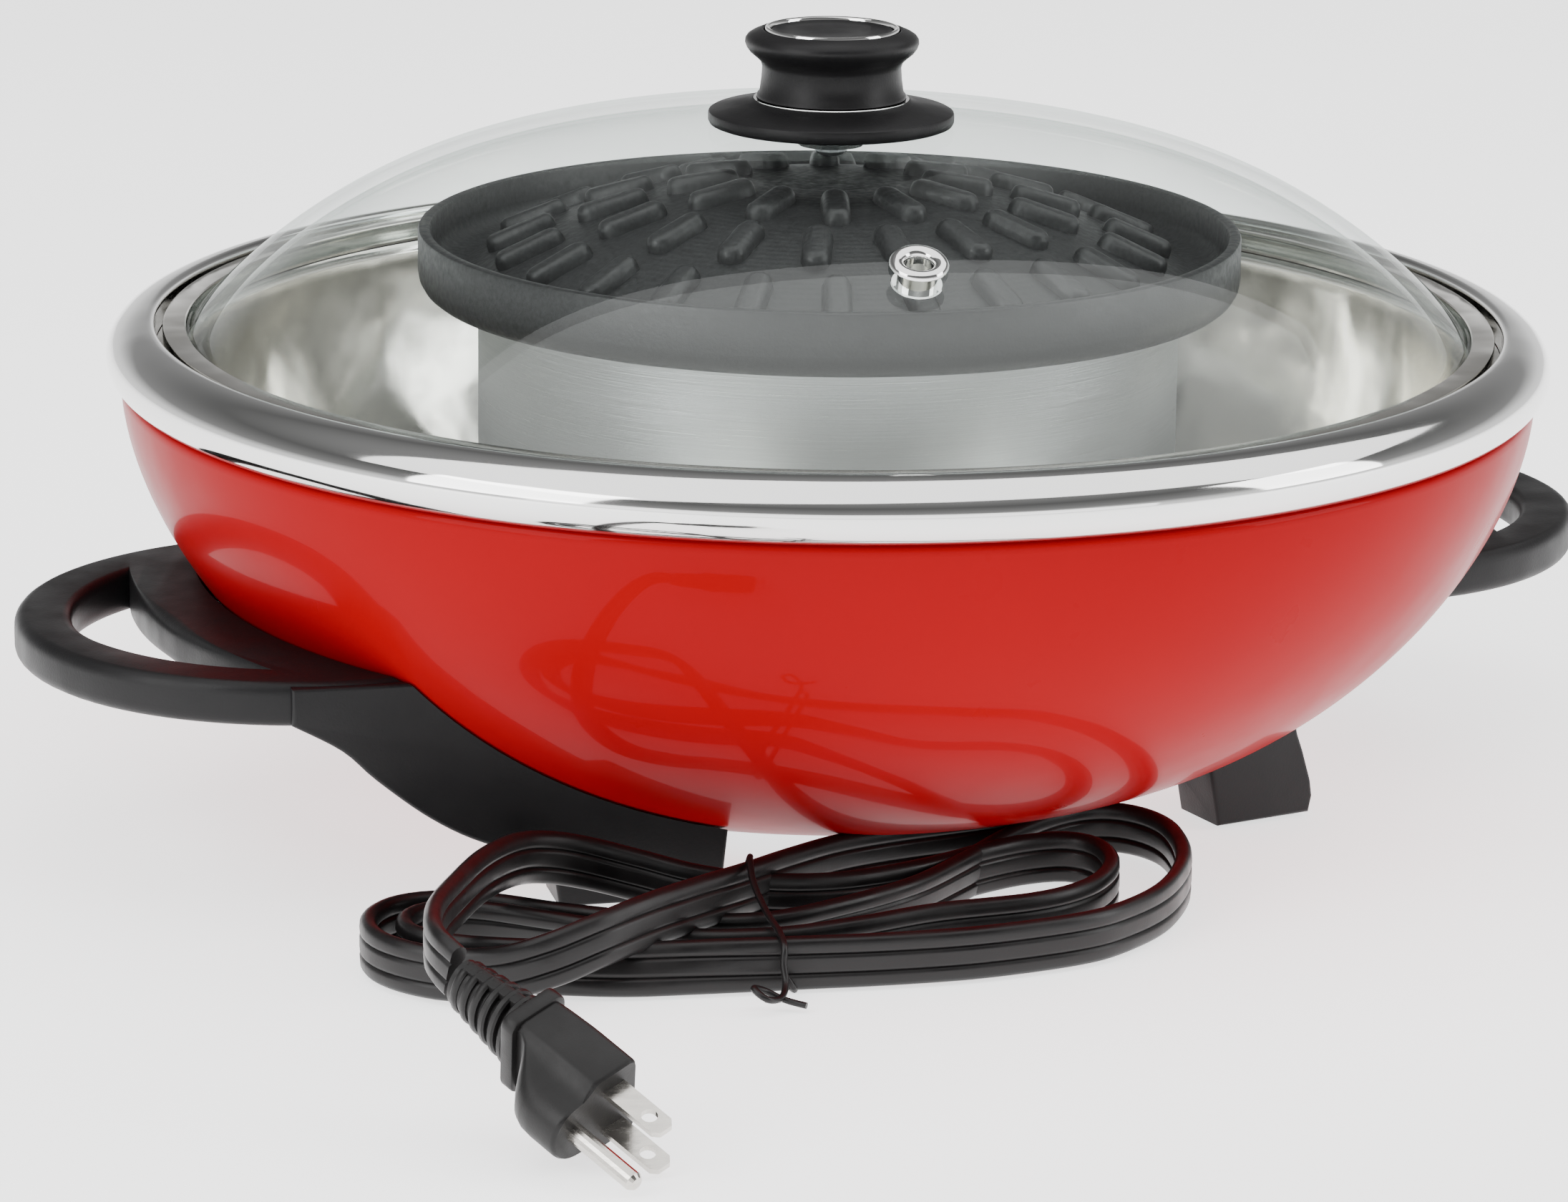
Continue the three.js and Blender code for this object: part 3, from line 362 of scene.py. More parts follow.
plug_rows = [
    plug_section(y, scale, lobe) for y, scale, lobe in (
        (0, 0.95, 0.93), (-0.5, 0.99, 0.985), (-1.2, 1, 1), (-9, 1, 1), (-12, 1, 0.97),
        (-15, 0.995, 0.86), (-17.5, 0.985, 0.66), (-20, 0.975, 0.4), (-22, 0.965, 0.18),
        (-24, 0.95, 0.06), (-26.4, 0.93, 0.02),
    )
]
verts, faces = lofted(plug_rows)
plug_shell = solid(
    "plug_moulding", placed(verts, plug_frame), faces, moulded, "base", "black_pvc",
    ["plug_body"], sharp=42,
)


def rounded_plate(half_x, half_z, radius, y_from, y_to, edge=0.6, steps=6):
    """A plate with rounded corners and edges across the plug's length."""
    def outline(inset, y):
        points = []
        for sx, sz, start in ((1, 1, 0), (-1, 1, 90), (-1, -1, 180), (1, -1, 270)):
            for i in range(steps + 1):
                a = math.radians(start + 90 * i / steps)
                points.append((
                    sx * (half_x - radius) + (radius - inset) * math.cos(a), y,
                    sz * (half_z - radius) + (radius - inset) * math.sin(a),
                ))
        return points
    return lofted([
        outline(edge, y_from), outline(edge * 0.3, y_from - edge * 0.3), outline(0, y_from - edge),
        outline(0, y_to + edge), outline(edge * 0.3, y_to + edge * 0.3), outline(edge, y_to),
    ])


verts, faces = rounded_plate(PLUG_HALF_W + 1.4, PLUG_HALF_H, 3.2, -25.8, -30)
solid("plug_collar", placed(verts, plug_frame), faces, moulded, "base", "black_pvc")

# The boot: a soft core, and ribs that stand off it and shrink towards the cord.
BOOT_HALF_W, BOOT_HALF_H, BOOT_L = PLUG_HALF_W + 0.9, PLUG_HALF_H - 1.2, 22.0
BOOT_RIBS, BOOT_PITCH, BOOT_TAPER = 6, 3.7, 0.055
RIB_T, RIB_EDGE = 2.1, 0.5


def baked(carrier):
    """The plain mesh that an object makes once its modifiers have run."""
    bpy.context.view_layer.update()
    seen = carrier.evaluated_get(bpy.context.evaluated_depsgraph_get())
    return bpy.data.meshes.new_from_object(seen)


def repeated(name, tree_inputs, unit, finish, build):
    """Runs a Geometry Nodes tree on the unit's mesh and returns the plain mesh it makes."""
    tree = bpy.data.node_groups.new(name, "GeometryNodeTree")
    face = tree.interface
    face.new_socket("Geometry", in_out="INPUT", socket_type="NodeSocketGeometry")
    for label, (kind, _) in tree_inputs.items():
        face.new_socket(label, in_out="INPUT", socket_type="NodeSocket" + kind)
    face.new_socket("Geometry", in_out="OUTPUT", socket_type="NodeSocketGeometry")
    source, sink = tree.nodes.new("NodeGroupInput"), tree.nodes.new("NodeGroupOutput")
    made = build(tree, source.outputs)
    realize = tree.nodes.new("GeometryNodeRealizeInstances")
    paint = tree.nodes.new("GeometryNodeSetMaterial")
    paint.inputs["Material"].default_value = finish.material
    tree.links.new(made, realize.inputs[0])
    tree.links.new(realize.outputs[0], paint.inputs[0])
    tree.links.new(paint.outputs[0], sink.inputs[0])
    carrier = linked(name + "_carrier", unit)
    modifier = carrier.modifiers.new(name, "NODES")
    modifier.node_group = tree
    sockets = {s.name: s.identifier for s in face.items_tree if s.in_out == "INPUT"}
    for label, (_, value) in tree_inputs.items():
        modifier[sockets[label]] = value
    mesh = baked(carrier)
    mesh.name = name
    carrier.modifiers.clear()
    bpy.data.objects.remove(carrier)
    return mesh


def node_in(tree, kind, inputs, **settings):
    """Adds a node to a tree, feeds its inputs with values or sockets, and returns its outputs."""
    made = tree.nodes.new(kind)
    for key, value in settings.items():
        setattr(made, key, value)
    for key, value in inputs.items():
        if isinstance(value, bpy.types.NodeSocket):
            tree.links.new(value, made.inputs[key])
        else:
            made.inputs[key].default_value = value
    return made.outputs


def rib_row(tree, given):
    """Ribs in a row along the boot, each a little smaller than the last."""
    line = node_in(tree, "GeometryNodeMeshLine", {
        "Count": given["Ribs"], "Start Location": (0, 0, 0),
    })
    index = node_in(tree, "GeometryNodeInputIndex", {})[0]
    along = node_in(tree, "ShaderNodeMath", {0: index, 1: given["Pitch"]}, operation="MULTIPLY")[0]
    back = node_in(tree, "ShaderNodeMath", {0: along, 1: -1.0}, operation="MULTIPLY")[0]
    spot = node_in(tree, "ShaderNodeCombineXYZ", {1: back})[0]
    points = node_in(tree, "GeometryNodeSetPosition", {0: line[0], "Position": spot})[0]
    less = node_in(tree, "ShaderNodeMath", {0: index, 1: given["Taper"]}, operation="MULTIPLY")[0]
    size = node_in(tree, "ShaderNodeMath", {0: 1.0, 1: less}, operation="SUBTRACT")[0]
    across = node_in(tree, "ShaderNodeCombineXYZ", {0: size, 1: 1.0, 2: size})[0]
    return node_in(tree, "GeometryNodeInstanceOnPoints", {
        "Points": points, "Instance": given["Geometry"], "Scale": across,
    })[0]


def oval(half_x, half_z, y, count=28):
    """An oval outline across the boot at y."""
    return [(half_x * math.cos(a), y, half_z * math.sin(a))
            for a in (i * math.tau / count for i in range(count))]


def carried(mesh, turn):
    """Moves a mesh in metres by a placing in millimetres."""
    for step in (Matrix.Scale(1 / MM, 4), turn, Matrix.Scale(MM, 4)):
        mesh.transform(step)
    return mesh


rib = mesh_of("boot_rib", *lofted([
    oval(BOOT_HALF_W - RIB_EDGE, BOOT_HALF_H - RIB_EDGE, 0), oval(BOOT_HALF_W, BOOT_HALF_H, -RIB_EDGE),
    oval(BOOT_HALF_W, BOOT_HALF_H, RIB_EDGE - RIB_T),
    oval(BOOT_HALF_W - RIB_EDGE, BOOT_HALF_H - RIB_EDGE, -RIB_T),
]))
ribs = repeated("boot_ribs", {
    "Ribs": ("Int", BOOT_RIBS), "Pitch": ("Float", BOOT_PITCH * MM), "Taper": ("Float", BOOT_TAPER),
}, rib, moulded, rib_row)
boot_frame = plug_frame @ Matrix.Translation((0, -PLUG_L - 0.3, 0))
settle("boot_ribs", carried(ribs, boot_frame), moulded, "base")
verts, faces = lofted([
    oval(BOOT_HALF_W * scale, BOOT_HALF_H * scale, -i * BOOT_L / 8)
    for i, scale in ((i, 0.74 - 0.012 * i) for i in range(9))
])
boot_core = solid(
    "boot_core", placed(verts, boot_frame), faces, moulded, "base", "black_pvc", ["plug_boot"],
)
# Two straps join the ribs on the boot's narrow edges, so that windows are left between ribs.
for side, strap in ((1, "boot_strap_upper"), (-1, "boot_strap_lower")):
    rows = []
    for i in range(7):
        y = -0.3 - i * 20.2 / 6
        scale = 1 - BOOT_TAPER * i * 5 / 6
        z = side * BOOT_HALF_H * scale
        rows.append([(x, y, z - side * d) for x, d in (
            (-1.7, 3.0), (-1.7, 0.5), (-1.2, 0.15), (1.2, 0.15), (1.7, 0.5), (1.7, 3.0),
        )])
    verts, faces = lofted(rows)
    solid(strap, placed(verts, boot_frame), faces, moulded, "base", "black_pvc")

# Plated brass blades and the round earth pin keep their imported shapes, with a plated finish.
plated = Finish("plug_nickel", (0.62, 0.6, 0.56), 0.22, 1.0)
scuff = plated.noise(160, 5, 0.6, stretch=(1, 1, 7))
plated.set("Roughness", plated.between(scuff, 0.14, 0.34))
plated.set("Base Color", plated.tint(scuff, (0.66, 0.63, 0.58), (0.5, 0.48, 0.45)))
plated.bump(plated.noise(900, 2), 0.00002, 0.4)
PLUG_METAL = ["plug_blade_upper", "plug_blade_lower", "plug_ground_pin"]


def refinish(finish, *nodes):
    """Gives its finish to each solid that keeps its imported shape."""
    for node in nodes:
        cad[node].data.materials.clear()
        cad[node].data.materials.append(finish.material)


refinish(plated, *PLUG_METAL)

[[c * MM for c in p[:3]] for p in cord_line]


# ---- painted shell ------------------------------------------------------------------------
# The outside bowl: drawn sheet steel in a deep red gloss enamel, with a narrow neck that goes
# up inside the rim.
def hoop_faces(around, n):
    """The faces of a closed hoop: an outline of n points, set so many times around."""
    return [
        (i * n + k, (i + 1) % around * n + k, (i + 1) % around * n + (k + 1) % n, i * n + (k + 1) % n)
        for i in range(around) for k in range(n)
    ]


def turned(name, outline, finish, body, slot, stands_for=(), segments=256, sharp=40, axis_frame=None):
    """Turns a closed outline of [radius, height] millimetres about the Z axis."""
    verts = []
    for i in range(segments):
        c, s = math.cos(i * math.tau / segments), math.sin(i * math.tau / segments)
        verts += [Vector((r * c, r * s, z)) for r, z in outline]
    if axis_frame:
        verts = placed(verts, axis_frame)
    faces = hoop_faces(segments, len(outline))
    return solid(name, verts, faces, finish, body, slot, stands_for, sharp)


def bowl_side(floor_r, floor_z, side_r, side_z, power, steps=48):
    """A bowl's curve from the edge of its floor to its upright side."""
    side = []
    for i in range(steps + 1):
        a = i / steps * math.pi / 2
        side.append((
            floor_r + (side_r - floor_r) * math.sin(a) ** (2 / power),
            floor_z + (side_z - floor_z) * (1 - math.cos(a) ** (2 / power)),
        ))
    return side


def sheet(path, thickness):
    """The outline of a sheet: a path, and the same path moved sideways by the thickness."""
    other = []
    for i, (r, z) in enumerate(path):
        before, after = path[max(i - 1, 0)], path[min(i + 1, len(path) - 1)]
        length = math.dist(before, after)
        other.append((
            r - (after[1] - before[1]) * thickness / length,
            z + (after[0] - before[0]) * thickness / length,
        ))
    return [*path, *reversed(other)]


enamel = Finish(
    "red_enamel", (0.27, 0.0002, 0.003), 0.32, 0.0,
    Coat_Weight=0.15, Coat_Roughness=0.035, Coat_IOR=1.3, Specular_IOR_Level=0.02,
)
enamel_cloud = enamel.noise(9, 3)
enamel.set("Base Color", enamel.tint(enamel_cloud, (0.3, 0.0002, 0.003), (0.24, 0.0002, 0.003)))
enamel.set("Roughness", enamel.between(enamel.noise(40, 4), 0.27, 0.38))
enamel.bump(enamel.noise(70, 2), 0.00006, 0.5)

SHELL_FLAT_R, SHELL_BOTTOM_Z = 85, 10
SHELL_TOP_R, SHELL_SIDE_Z = 196, 115.5
FLANGE_Z = 125.5
shell_side = bowl_side(SHELL_FLAT_R, SHELL_BOTTOM_Z, SHELL_TOP_R, SHELL_SIDE_Z, 1.7)
shell_path = [(74, SHELL_BOTTOM_Z), *shell_side, (195.4, 116.4), (194, 117.4), (194, 124.2)]
turned("red_shell", sheet(shell_path, 1.0), enamel, "base", "red_paint", ["outer_shell"])


# ---- pot ----------------------------------------------------------------------------------
# The cooking bowl: polished stainless sheet, pressed and slightly uneven, so that its
# reflections wander. Its flat flange carries the lid.
POT_FLOOR_R, POT_FLOOR_Z = 112, 28
polished = Finish("polished_stainless", (0.8, 0.78, 0.73), 0.12, 1.0)
ripple = polished.noise(11, 2, 0.4) + polished.noise(30, 2, 0.4) * 0.25
polished.bump(ripple, 0.0035, 0.8)
polished.set("Roughness", polished.between(polished.noise(60, 4), 0.08, 0.2))
polished.set("Base Color", polished.tint(
    polished.noise(14, 3), (0.84, 0.83, 0.8), (0.72, 0.69, 0.62),
))
pot_side = bowl_side(POT_FLOOR_R, POT_FLOOR_Z, 176.5, FLANGE_Z - 3, 1.9)
pot_path = [(92.4, POT_FLOOR_Z), *pot_side, (176.8, FLANGE_Z - 1), (177.8, FLANGE_Z), (195.4, FLANGE_Z)]
turned("steel_pot", sheet(pot_path, -1.0), polished, "base", "polished_steel", ["pot"])


# ---- drum ---------------------------------------------------------------------------------
# A straight stainless drum that stands in the pot and carries the grill plate. It was brushed
# round and round on a lathe, so its grain runs level.
DRUM_R, DRUM_BORE_R, DRUM_FOOT_R, DRUM_TOP_Z = 97.4, 96.4, 102.4, 139
brushed = Finish("brushed_stainless", (0.8, 0.82, 0.82), 0.34, 1.0)
grain = brushed.noise(22, 4, 0.7, stretch=(1, 1, 110))
brushed.set("Roughness", brushed.between(grain, 0.26, 0.44))
brushed.set("Base Color", brushed.tint(grain, (0.9, 0.92, 0.93), (0.7, 0.72, 0.73)))
brushed.bump(grain, 0.00008, 0.6)
drum_outline = [
    (DRUM_BORE_R, 28.3), (DRUM_FOOT_R, 28.3), (DRUM_FOOT_R, 29.3), (DRUM_R + 1, 29.3),
    (DRUM_R + 0.3, 29.6), (DRUM_R, 30.3), (DRUM_R, DRUM_TOP_Z - 0.3), (DRUM_R - 0.3, DRUM_TOP_Z),
    (DRUM_BORE_R, DRUM_TOP_Z),
]
turned("steel_drum", drum_outline, brushed, "base", "brushed_steel", ["drum"])


# ---- rim ----------------------------------------------------------------------------------
# A wide half-round ring of bright chromed steel that hides the joint of pot and shell.
RIM_CENTRE_R, RIM_Z = 188, 123.9
bright = Finish("bright_chrome", (0.8, 0.8, 0.79), 0.06, 1.0)
bright.set("Roughness", bright.between(bright.noise(50, 4), 0.04, 0.1))
bright.bump(bright.noise(18, 2), 0.0006, 0.6)


def rim_arc(half_width, half_height, steps=28):
    """The rim's half-round outside, from below its outer edge to its top."""
    return [
        (RIM_CENTRE_R + half_width * math.cos(a), RIM_Z + half_height * math.sin(a))
        for a in (math.radians(-45 + 135 * i / steps) for i in range(steps + 1))
    ]


rim_outline = [
    *rim_arc(12, 9.5), (187.1, 133.1), (186.6, 132.4), (186.5, 131.4), (186.5, FLANGE_Z + 0.3),
    (187.7, FLANGE_Z + 0.3), *reversed(rim_arc(10.8, 8.3)),
]
turned("chrome_rim", rim_outline, bright, "base", "bright_chrome", ["rim"], segments=320)


# ---- lid ----------------------------------------------------------------------------------
# Clear tempered glass pressed to a flat dome, its edge held in a folded steel band, with a
# steel eyelet that lets the steam out.
GLASS_BASE_Z, GLASS_T, GLASS_TOP_Z = FLANGE_Z + 1.3, 4.0, 186.0
DOME_R = 177.0
clear = Finish("lid_glass", (0.8, 0.86, 0.84), 0.02, 0.0, Specular_IOR_Level=0.5)
through = clear.node("BsdfTransparent", {}, {"Color": (0.97, 0.985, 0.98, 1.0)})
slant = clear.node("LayerWeight", {}, {"Blend": 0.5}, output=1)
shine = clear.node("BsdfGlossy", {}, {"Color": (0.95, 0.97, 0.96, 1.0), "Roughness": 0.02})
deep = clear.node("BsdfTransparent", {}, {"Color": (0.36, 0.43, 0.41, 1.0)})
body_mix = clear.node("MixShader", {}, {0: slant ** 15.0, 1: through, 2: deep})
clear_mix = clear.node("MixShader", {}, {0: slant ** 6.0 * 0.55 + 0.03, 1: body_mix, 2: shine})
clear.feed(clear.tree.nodes["Material Output"].inputs["Surface"], clear_mix)


def dome_z(r):
    """The height of the glass's outside at a radius."""
    return GLASS_BASE_Z + GLASS_T + (GLASS_TOP_Z - GLASS_BASE_Z - GLASS_T) * (1 - (r / DOME_R) ** 3.4)


dome_path = [(4, dome_z(4))] + [
    (r, dome_z(r)) for r in (DOME_R * math.sin(math.pi / 2 * i / 60) for i in range(2, 61))
]
dome_outline = sheet(list(reversed(dome_path)), GLASS_T)
under = [(r, z) for r, z in dome_outline[len(dome_path):] if z > GLASS_BASE_Z + 0.6]
GLASS_EDGE_R, GLASS_EDGE_Z = 183.4, GLASS_BASE_Z + GLASS_T
glass_outline = [*dome_path, (178.6, GLASS_EDGE_Z), (GLASS_EDGE_R, GLASS_EDGE_Z),
                 (GLASS_EDGE_R, GLASS_BASE_Z), *sorted(under, key=lambda p: -p[0])]
turned("lid_dome", glass_outline, clear, "lid", "clear_glass", ["lid_glass"], sharp=50)

VENT_AT_R, VENT_TURN = 121, -1.83
vent_slope = math.atan(dome_z(VENT_AT_R) - dome_z(VENT_AT_R + 1))
vent_frame = (
    Matrix.Translation((VENT_AT_R * math.cos(VENT_TURN), VENT_AT_R * math.sin(VENT_TURN),
                        dome_z(VENT_AT_R)))
    @ Matrix.Rotation(VENT_TURN, 4, "Z") @ Matrix.Rotation(vent_slope, 4, "Y")
)
eyelet_outline = [
    (3.6, -5.4), (4.4, -5.7), (6.5, -5.6), (6.8, -5.1), (6.6, -4.6), (5.3, -4.6), (5.3, 0.7),
    (7.2, 0.7), (7.8, 1.0), (7.7, 1.6), (7.1, 2.3), (6.2, 2.7), (5.2, 2.6), (4.3, 2.1), (3.7, 1.3),
    (3.6, 0.4),
]
turned("steam_eyelet", eyelet_outline, bright, "lid", "bright_chrome", ["vent_eyelet"], 64,
       axis_frame=vent_frame)

BAND_R, BAND_LOW, BAND_TOP = 184.4, FLANGE_Z + 0.3, FLANGE_Z + 6.3
band_outline = [
    (178, BAND_LOW), (BAND_R - 0.6, BAND_LOW), (BAND_R - 0.15, BAND_LOW + 0.15),
    (BAND_R, BAND_LOW + 0.6), (BAND_R, BAND_TOP - 0.6), (BAND_R - 0.15, BAND_TOP - 0.15),
    (BAND_R - 0.6, BAND_TOP), (178.3, BAND_TOP), (178, BAND_TOP - 0.3), (178, BAND_TOP - 0.7),
    (BAND_R - 0.7, BAND_TOP - 0.7), (BAND_R - 0.7, BAND_LOW + 0.7), (178, BAND_LOW + 0.7),
]
turned("lid_rim_band", band_outline, polished, "lid", "polished_steel", ["lid_band"])


# ---- lid knob -----------------------------------------------------------------------------
# Moulded black phenolic: a wide conical foot against the glass, a waisted stem, and a mushroom
# head with a bright ring round a dished insert. A screw through the glass holds it.
phenolic = Finish("black_phenolic", (0.005, 0.005, 0.0055), 0.42, Specular_IOR_Level=0.2)
phenolic.set("Roughness", phenolic.between(phenolic.noise(60, 4), 0.36, 0.52))
phenolic.set("Base Color", phenolic.tint(
    phenolic.noise(35, 3), (0.004, 0.004, 0.0045), (0.009, 0.0085, 0.009),
))
phenolic.bump(phenolic.noise(1500, 2), 0.00006, 0.7)
foot_outline = [
    (2.8, 186.3), (32.6, 186.3), (33.6, 186.7), (34, 187.5), (34, 189.3), (33.8, 189.8),
    (33.2, 190.15), (24.4, 192.1), (22.6, 192.7), (21.8, 193.3), (2.8, 193.3),
]
turned("knob_foot", foot_outline, phenolic, "lid", "black_plastic", ["knob_base"], 128, 30)
stem_outline = [
    (2.8, 193.6), (20.2, 193.6), (20.6, 193.9), (20.5, 194.7), (19.9, 195.4), (19.4, 199), (19.2, 202.3),
    (19.6, 203.8), (20.8, 205), (22.6, 206.5), (23.5, 207.7), (24, 209), (23.9, 210), (23.3, 210.9),
    (22.2, 211.6), (20.1, 212.5), (19.4, 212.7), (18.9, 212.5), (18.9, 210.3), (0, 210.3), (0, 204.9),
    (2.8, 204.9),
]
turned("knob_head", stem_outline, phenolic, "lid", "black_plastic", ["knob_grip"], 128, 35)
ring_outline = [
    (17, 210.6), (18.6, 210.6), (18.6, 212.7), (18.4, 213.1), (17.9, 213.3), (17.3, 213.1), (17, 212.6),
]
turned("knob_bright_ring", ring_outline, bright, "lid", "bright_chrome", ["knob_ring"], 128)
insert_outline = [(0, 210.6), (16.7, 210.6), (16.7, 212.3), (16.4, 212.5), (15.6, 212.2)] + [
    (15 - i * 1.5, 212 - 0.8 * math.sin(math.pi / 2 * i / 10)) for i in range(11)
]
turned("knob_dished_insert", insert_outline, phenolic, "lid", "black_plastic", ["knob_insert"], 96)
foot_line_outline = [(20.7, 193.32), (21.5, 193.32), (21.5, 193.56), (20.7, 193.56)]
turned("knob_foot_line", foot_line_outline, bright, "lid", "bright_chrome", (), 128)


# ---- grill plate --------------------------------------------------------------------------
# Cast aluminium with a rough satin non-stick coat: a pan with a straight wall and a gutter,
# and a dome with rings of raised bars that carry the food.
GRILL_R, GUTTER_Z, GRILL_DOME_R, GRILL_DOME_Z = 114, 146, 101, 171
GRILL_T, HOLLOW_R = 5, 82
coated = Finish("nonstick_cast", (0.017, 0.017, 0.018), 0.46, Specular_IOR_Level=0.5)
speck = coated.noise(900, 2, 0.6)
coated.set("Base Color", coated.tint(
    coated.between(speck, 0.0, 1.0), (0.005, 0.005, 0.0055), (0.02, 0.02, 0.021),
))
coated.set("Roughness", coated.between(coated.noise(500, 3), 0.38, 0.55))
TURNING_MARKS = 2800  # the fine marks' sine, in radians for each metre of radius
radius = coated.node("VectorMath", {"operation": "LENGTH"}, {0: coated.at((1, 1, 0))}, "Value")
turning = coated.node("Math", {"operation": "SINE"}, {0: radius * TURNING_MARKS})
coated.bump(speck * 0.6 + turning * 0.12, 0.00012, 0.7)


def grill_z(r):
    """The height of the dome's top at a radius, and the gutter's beyond it."""
    return GUTTER_Z + (GRILL_DOME_Z - GUTTER_Z) * (1 - (min(r, GRILL_DOME_R) / GRILL_DOME_R) ** 2.1)


dome_top = [(r, grill_z(r)) for r in (GRILL_DOME_R * i / 40 for i in range(41))]
dome_low = [(r, grill_z(r) - GRILL_T) for r in (HOLLOW_R * i / 20 for i in range(20, -1, -1))]
pan_edge = [
    (105, GUTTER_Z), (107.5, 146.6), (109.3, 148.2), (110.1, 150.2), (110.5, 156.7),
    (110.9, 157.3), (111.6, 157.5), (113, 157.5), (GRILL_R - 0.3, 157.2), (GRILL_R, 156.5),
    (GRILL_R, 145.8), (113.6, 143.4), (112.4, 141.3), (110.6, 139.9), (108.4, 139.3),
    (95.9, 139.3), (95.9, 131.3), (92.9, 131.3), (92.4, 139.3),
]
pan_outline = dome_top + pan_edge + dome_low
turned("grill_pan", pan_outline, coated, "grill", "black_cast", ["grill_plate"], sharp=35)

BAR_LONG, BAR_WIDE, BAR_HIGH = 21.0, 8.4, 4.2


def bar_outline(inset, z, count=5):
    """A bar's outline: straight sides and half-round ends."""
    half, r = BAR_LONG / 2 - BAR_WIDE / 2, BAR_WIDE / 2 - inset
    points = []
    for sign, start in ((1, -90), (-1, 90)):
        for i in range(count + 1):
            a = math.radians(start + 180 * i / count)
            points.append((sign * half + r * math.cos(a), r * math.sin(a), z))
    return points


bar = mesh_of("grill_bar", *lofted([
    bar_outline(0, -1.6), bar_outline(0.3, BAR_HIGH * 0.45), bar_outline(0.9, BAR_HIGH * 0.8),
    bar_outline(1.9, BAR_HIGH * 0.97), bar_outline(2.9, BAR_HIGH),
]))


def bar_ring(tree, given):
    """Bars in a ring, each pointing at the middle and lying on the dome's slope."""
    ring = node_in(tree, "GeometryNodeMeshCircle", {
        "Vertices": given["Bars"], "Radius": given["Radius"],
    })[0]
    lifted = node_in(tree, "ShaderNodeCombineXYZ", {2: given["Height"]})[0]
    up = node_in(tree, "GeometryNodeSetPosition", {0: ring, "Offset": lifted})[0]
    turn = node_in(tree, "ShaderNodeCombineXYZ", {2: given["Turn"]})[0]
    spun = node_in(tree, "GeometryNodeTransform", {0: up, "Rotation": turn})[0]
    spot = node_in(tree, "ShaderNodeSeparateXYZ", {0: node_in(tree, "GeometryNodeInputPosition", {})[0]})
    heading = node_in(tree, "ShaderNodeMath", {0: spot[1], 1: spot[0]}, operation="ARCTAN2")[0]
    facing = node_in(tree, "ShaderNodeCombineXYZ", {1: given["Slope"], 2: heading})[0]
    return node_in(tree, "GeometryNodeInstanceOnPoints", {
        "Points": spun, "Instance": given["Geometry"], "Rotation": facing,
    })[0]


for ring_name, bars, at_r, turn in (
    ("inner", 12, 35, 0.12), ("middle", 18, 60, 0.02), ("outer", 24, 85, 0.1),
):
    slope = math.atan((grill_z(at_r - 1) - grill_z(at_r + 1)) / 2)
    ring_mesh = repeated("grill_bars_" + ring_name, {
        "Bars": ("Int", bars), "Radius": ("Float", at_r * MM),
        "Height": ("Float", (grill_z(at_r) - 0.3) * MM),
        "Slope": ("Float", slope), "Turn": ("Float", turn),
    }, bar, coated, bar_ring)
    settle("grill_bars_" + ring_name, ring_mesh, coated, "grill")


# ---- handle frames ------------------------------------------------------------------------
# One black phenolic moulding each side: a flat loop round a finger hole, and an arm that
# sweeps in under the shell to a foot. Two short blocks are the other feet. The shell's own
# curve is cut out of them all.
LOOP_X, LOOP_A, LOOP_B, LOOP_BAR, LOOP_Z, LOOP_H = 154, 80, 78, 15.5, 53, 12
FOOT_X, FOOT_Y, FOOT_L, FOOT_IN, FOOT_OUT, ARM_W = 95, 83, 43, 19.5, 11.5, 20
ARM_TURN, BLOCK_TURN = math.radians(-12), math.radians(4)
WEB_R, HOLE_MIDDLE, LOOP_BACK = 195, 206, 140
LOOP_EDGE, EDGE_STEPS = 3.6, 5


def slab(name, outline, depth, edge, lift):
    """A plate of a flat outline, with rounded edges."""
    curve = bpy.data.curves.new(name, "CURVE")
    curve.dimensions = "2D"
    curve.fill_mode = "BOTH"
    curve.extrude = (depth / 2 - edge) * MM
    curve.bevel_depth = edge * MM
    curve.bevel_resolution = 3
    curve.offset = -edge * MM
    line = curve.splines.new("POLY")
    line.points.add(len(outline) - 1)
    for point, (x, y) in zip(line.points, outline):
        point.co = (x * MM, y * MM, 0, 1)
    line.use_cyclic_u = True
    carrier = linked(name, curve)
    mesh = baked(carrier)
    bpy.data.objects.remove(carrier)
    mesh.transform(Matrix.Translation((0, 0, (lift + depth / 2) * MM)))
    return welded(mesh)


def welded(mesh):
    """Merges a mesh's doubles and turns its faces outwards."""
    shape = bmesh.new()
    shape.from_mesh(mesh)
    bmesh.ops.remove_doubles(shape, verts=shape.verts, dist=2e-6)
    bmesh.ops.recalc_face_normals(shape, faces=shape.faces)
    shape.to_mesh(mesh)
    shape.free()
    return mesh


def combined(mesh, others, operation):
    """Joins other meshes to a mesh, or cuts them out of it."""
    carrier = linked("carrier", mesh)
    tools = [linked("tool", other) for other in others]
    for tool in tools:
        step = carrier.modifiers.new("step", "BOOLEAN")
        step.operation = operation
        step.solver = "EXACT"
        step.object = tool
    made = baked(carrier)
    for item in [carrier, *tools]:
        bpy.data.objects.remove(item)
    return made


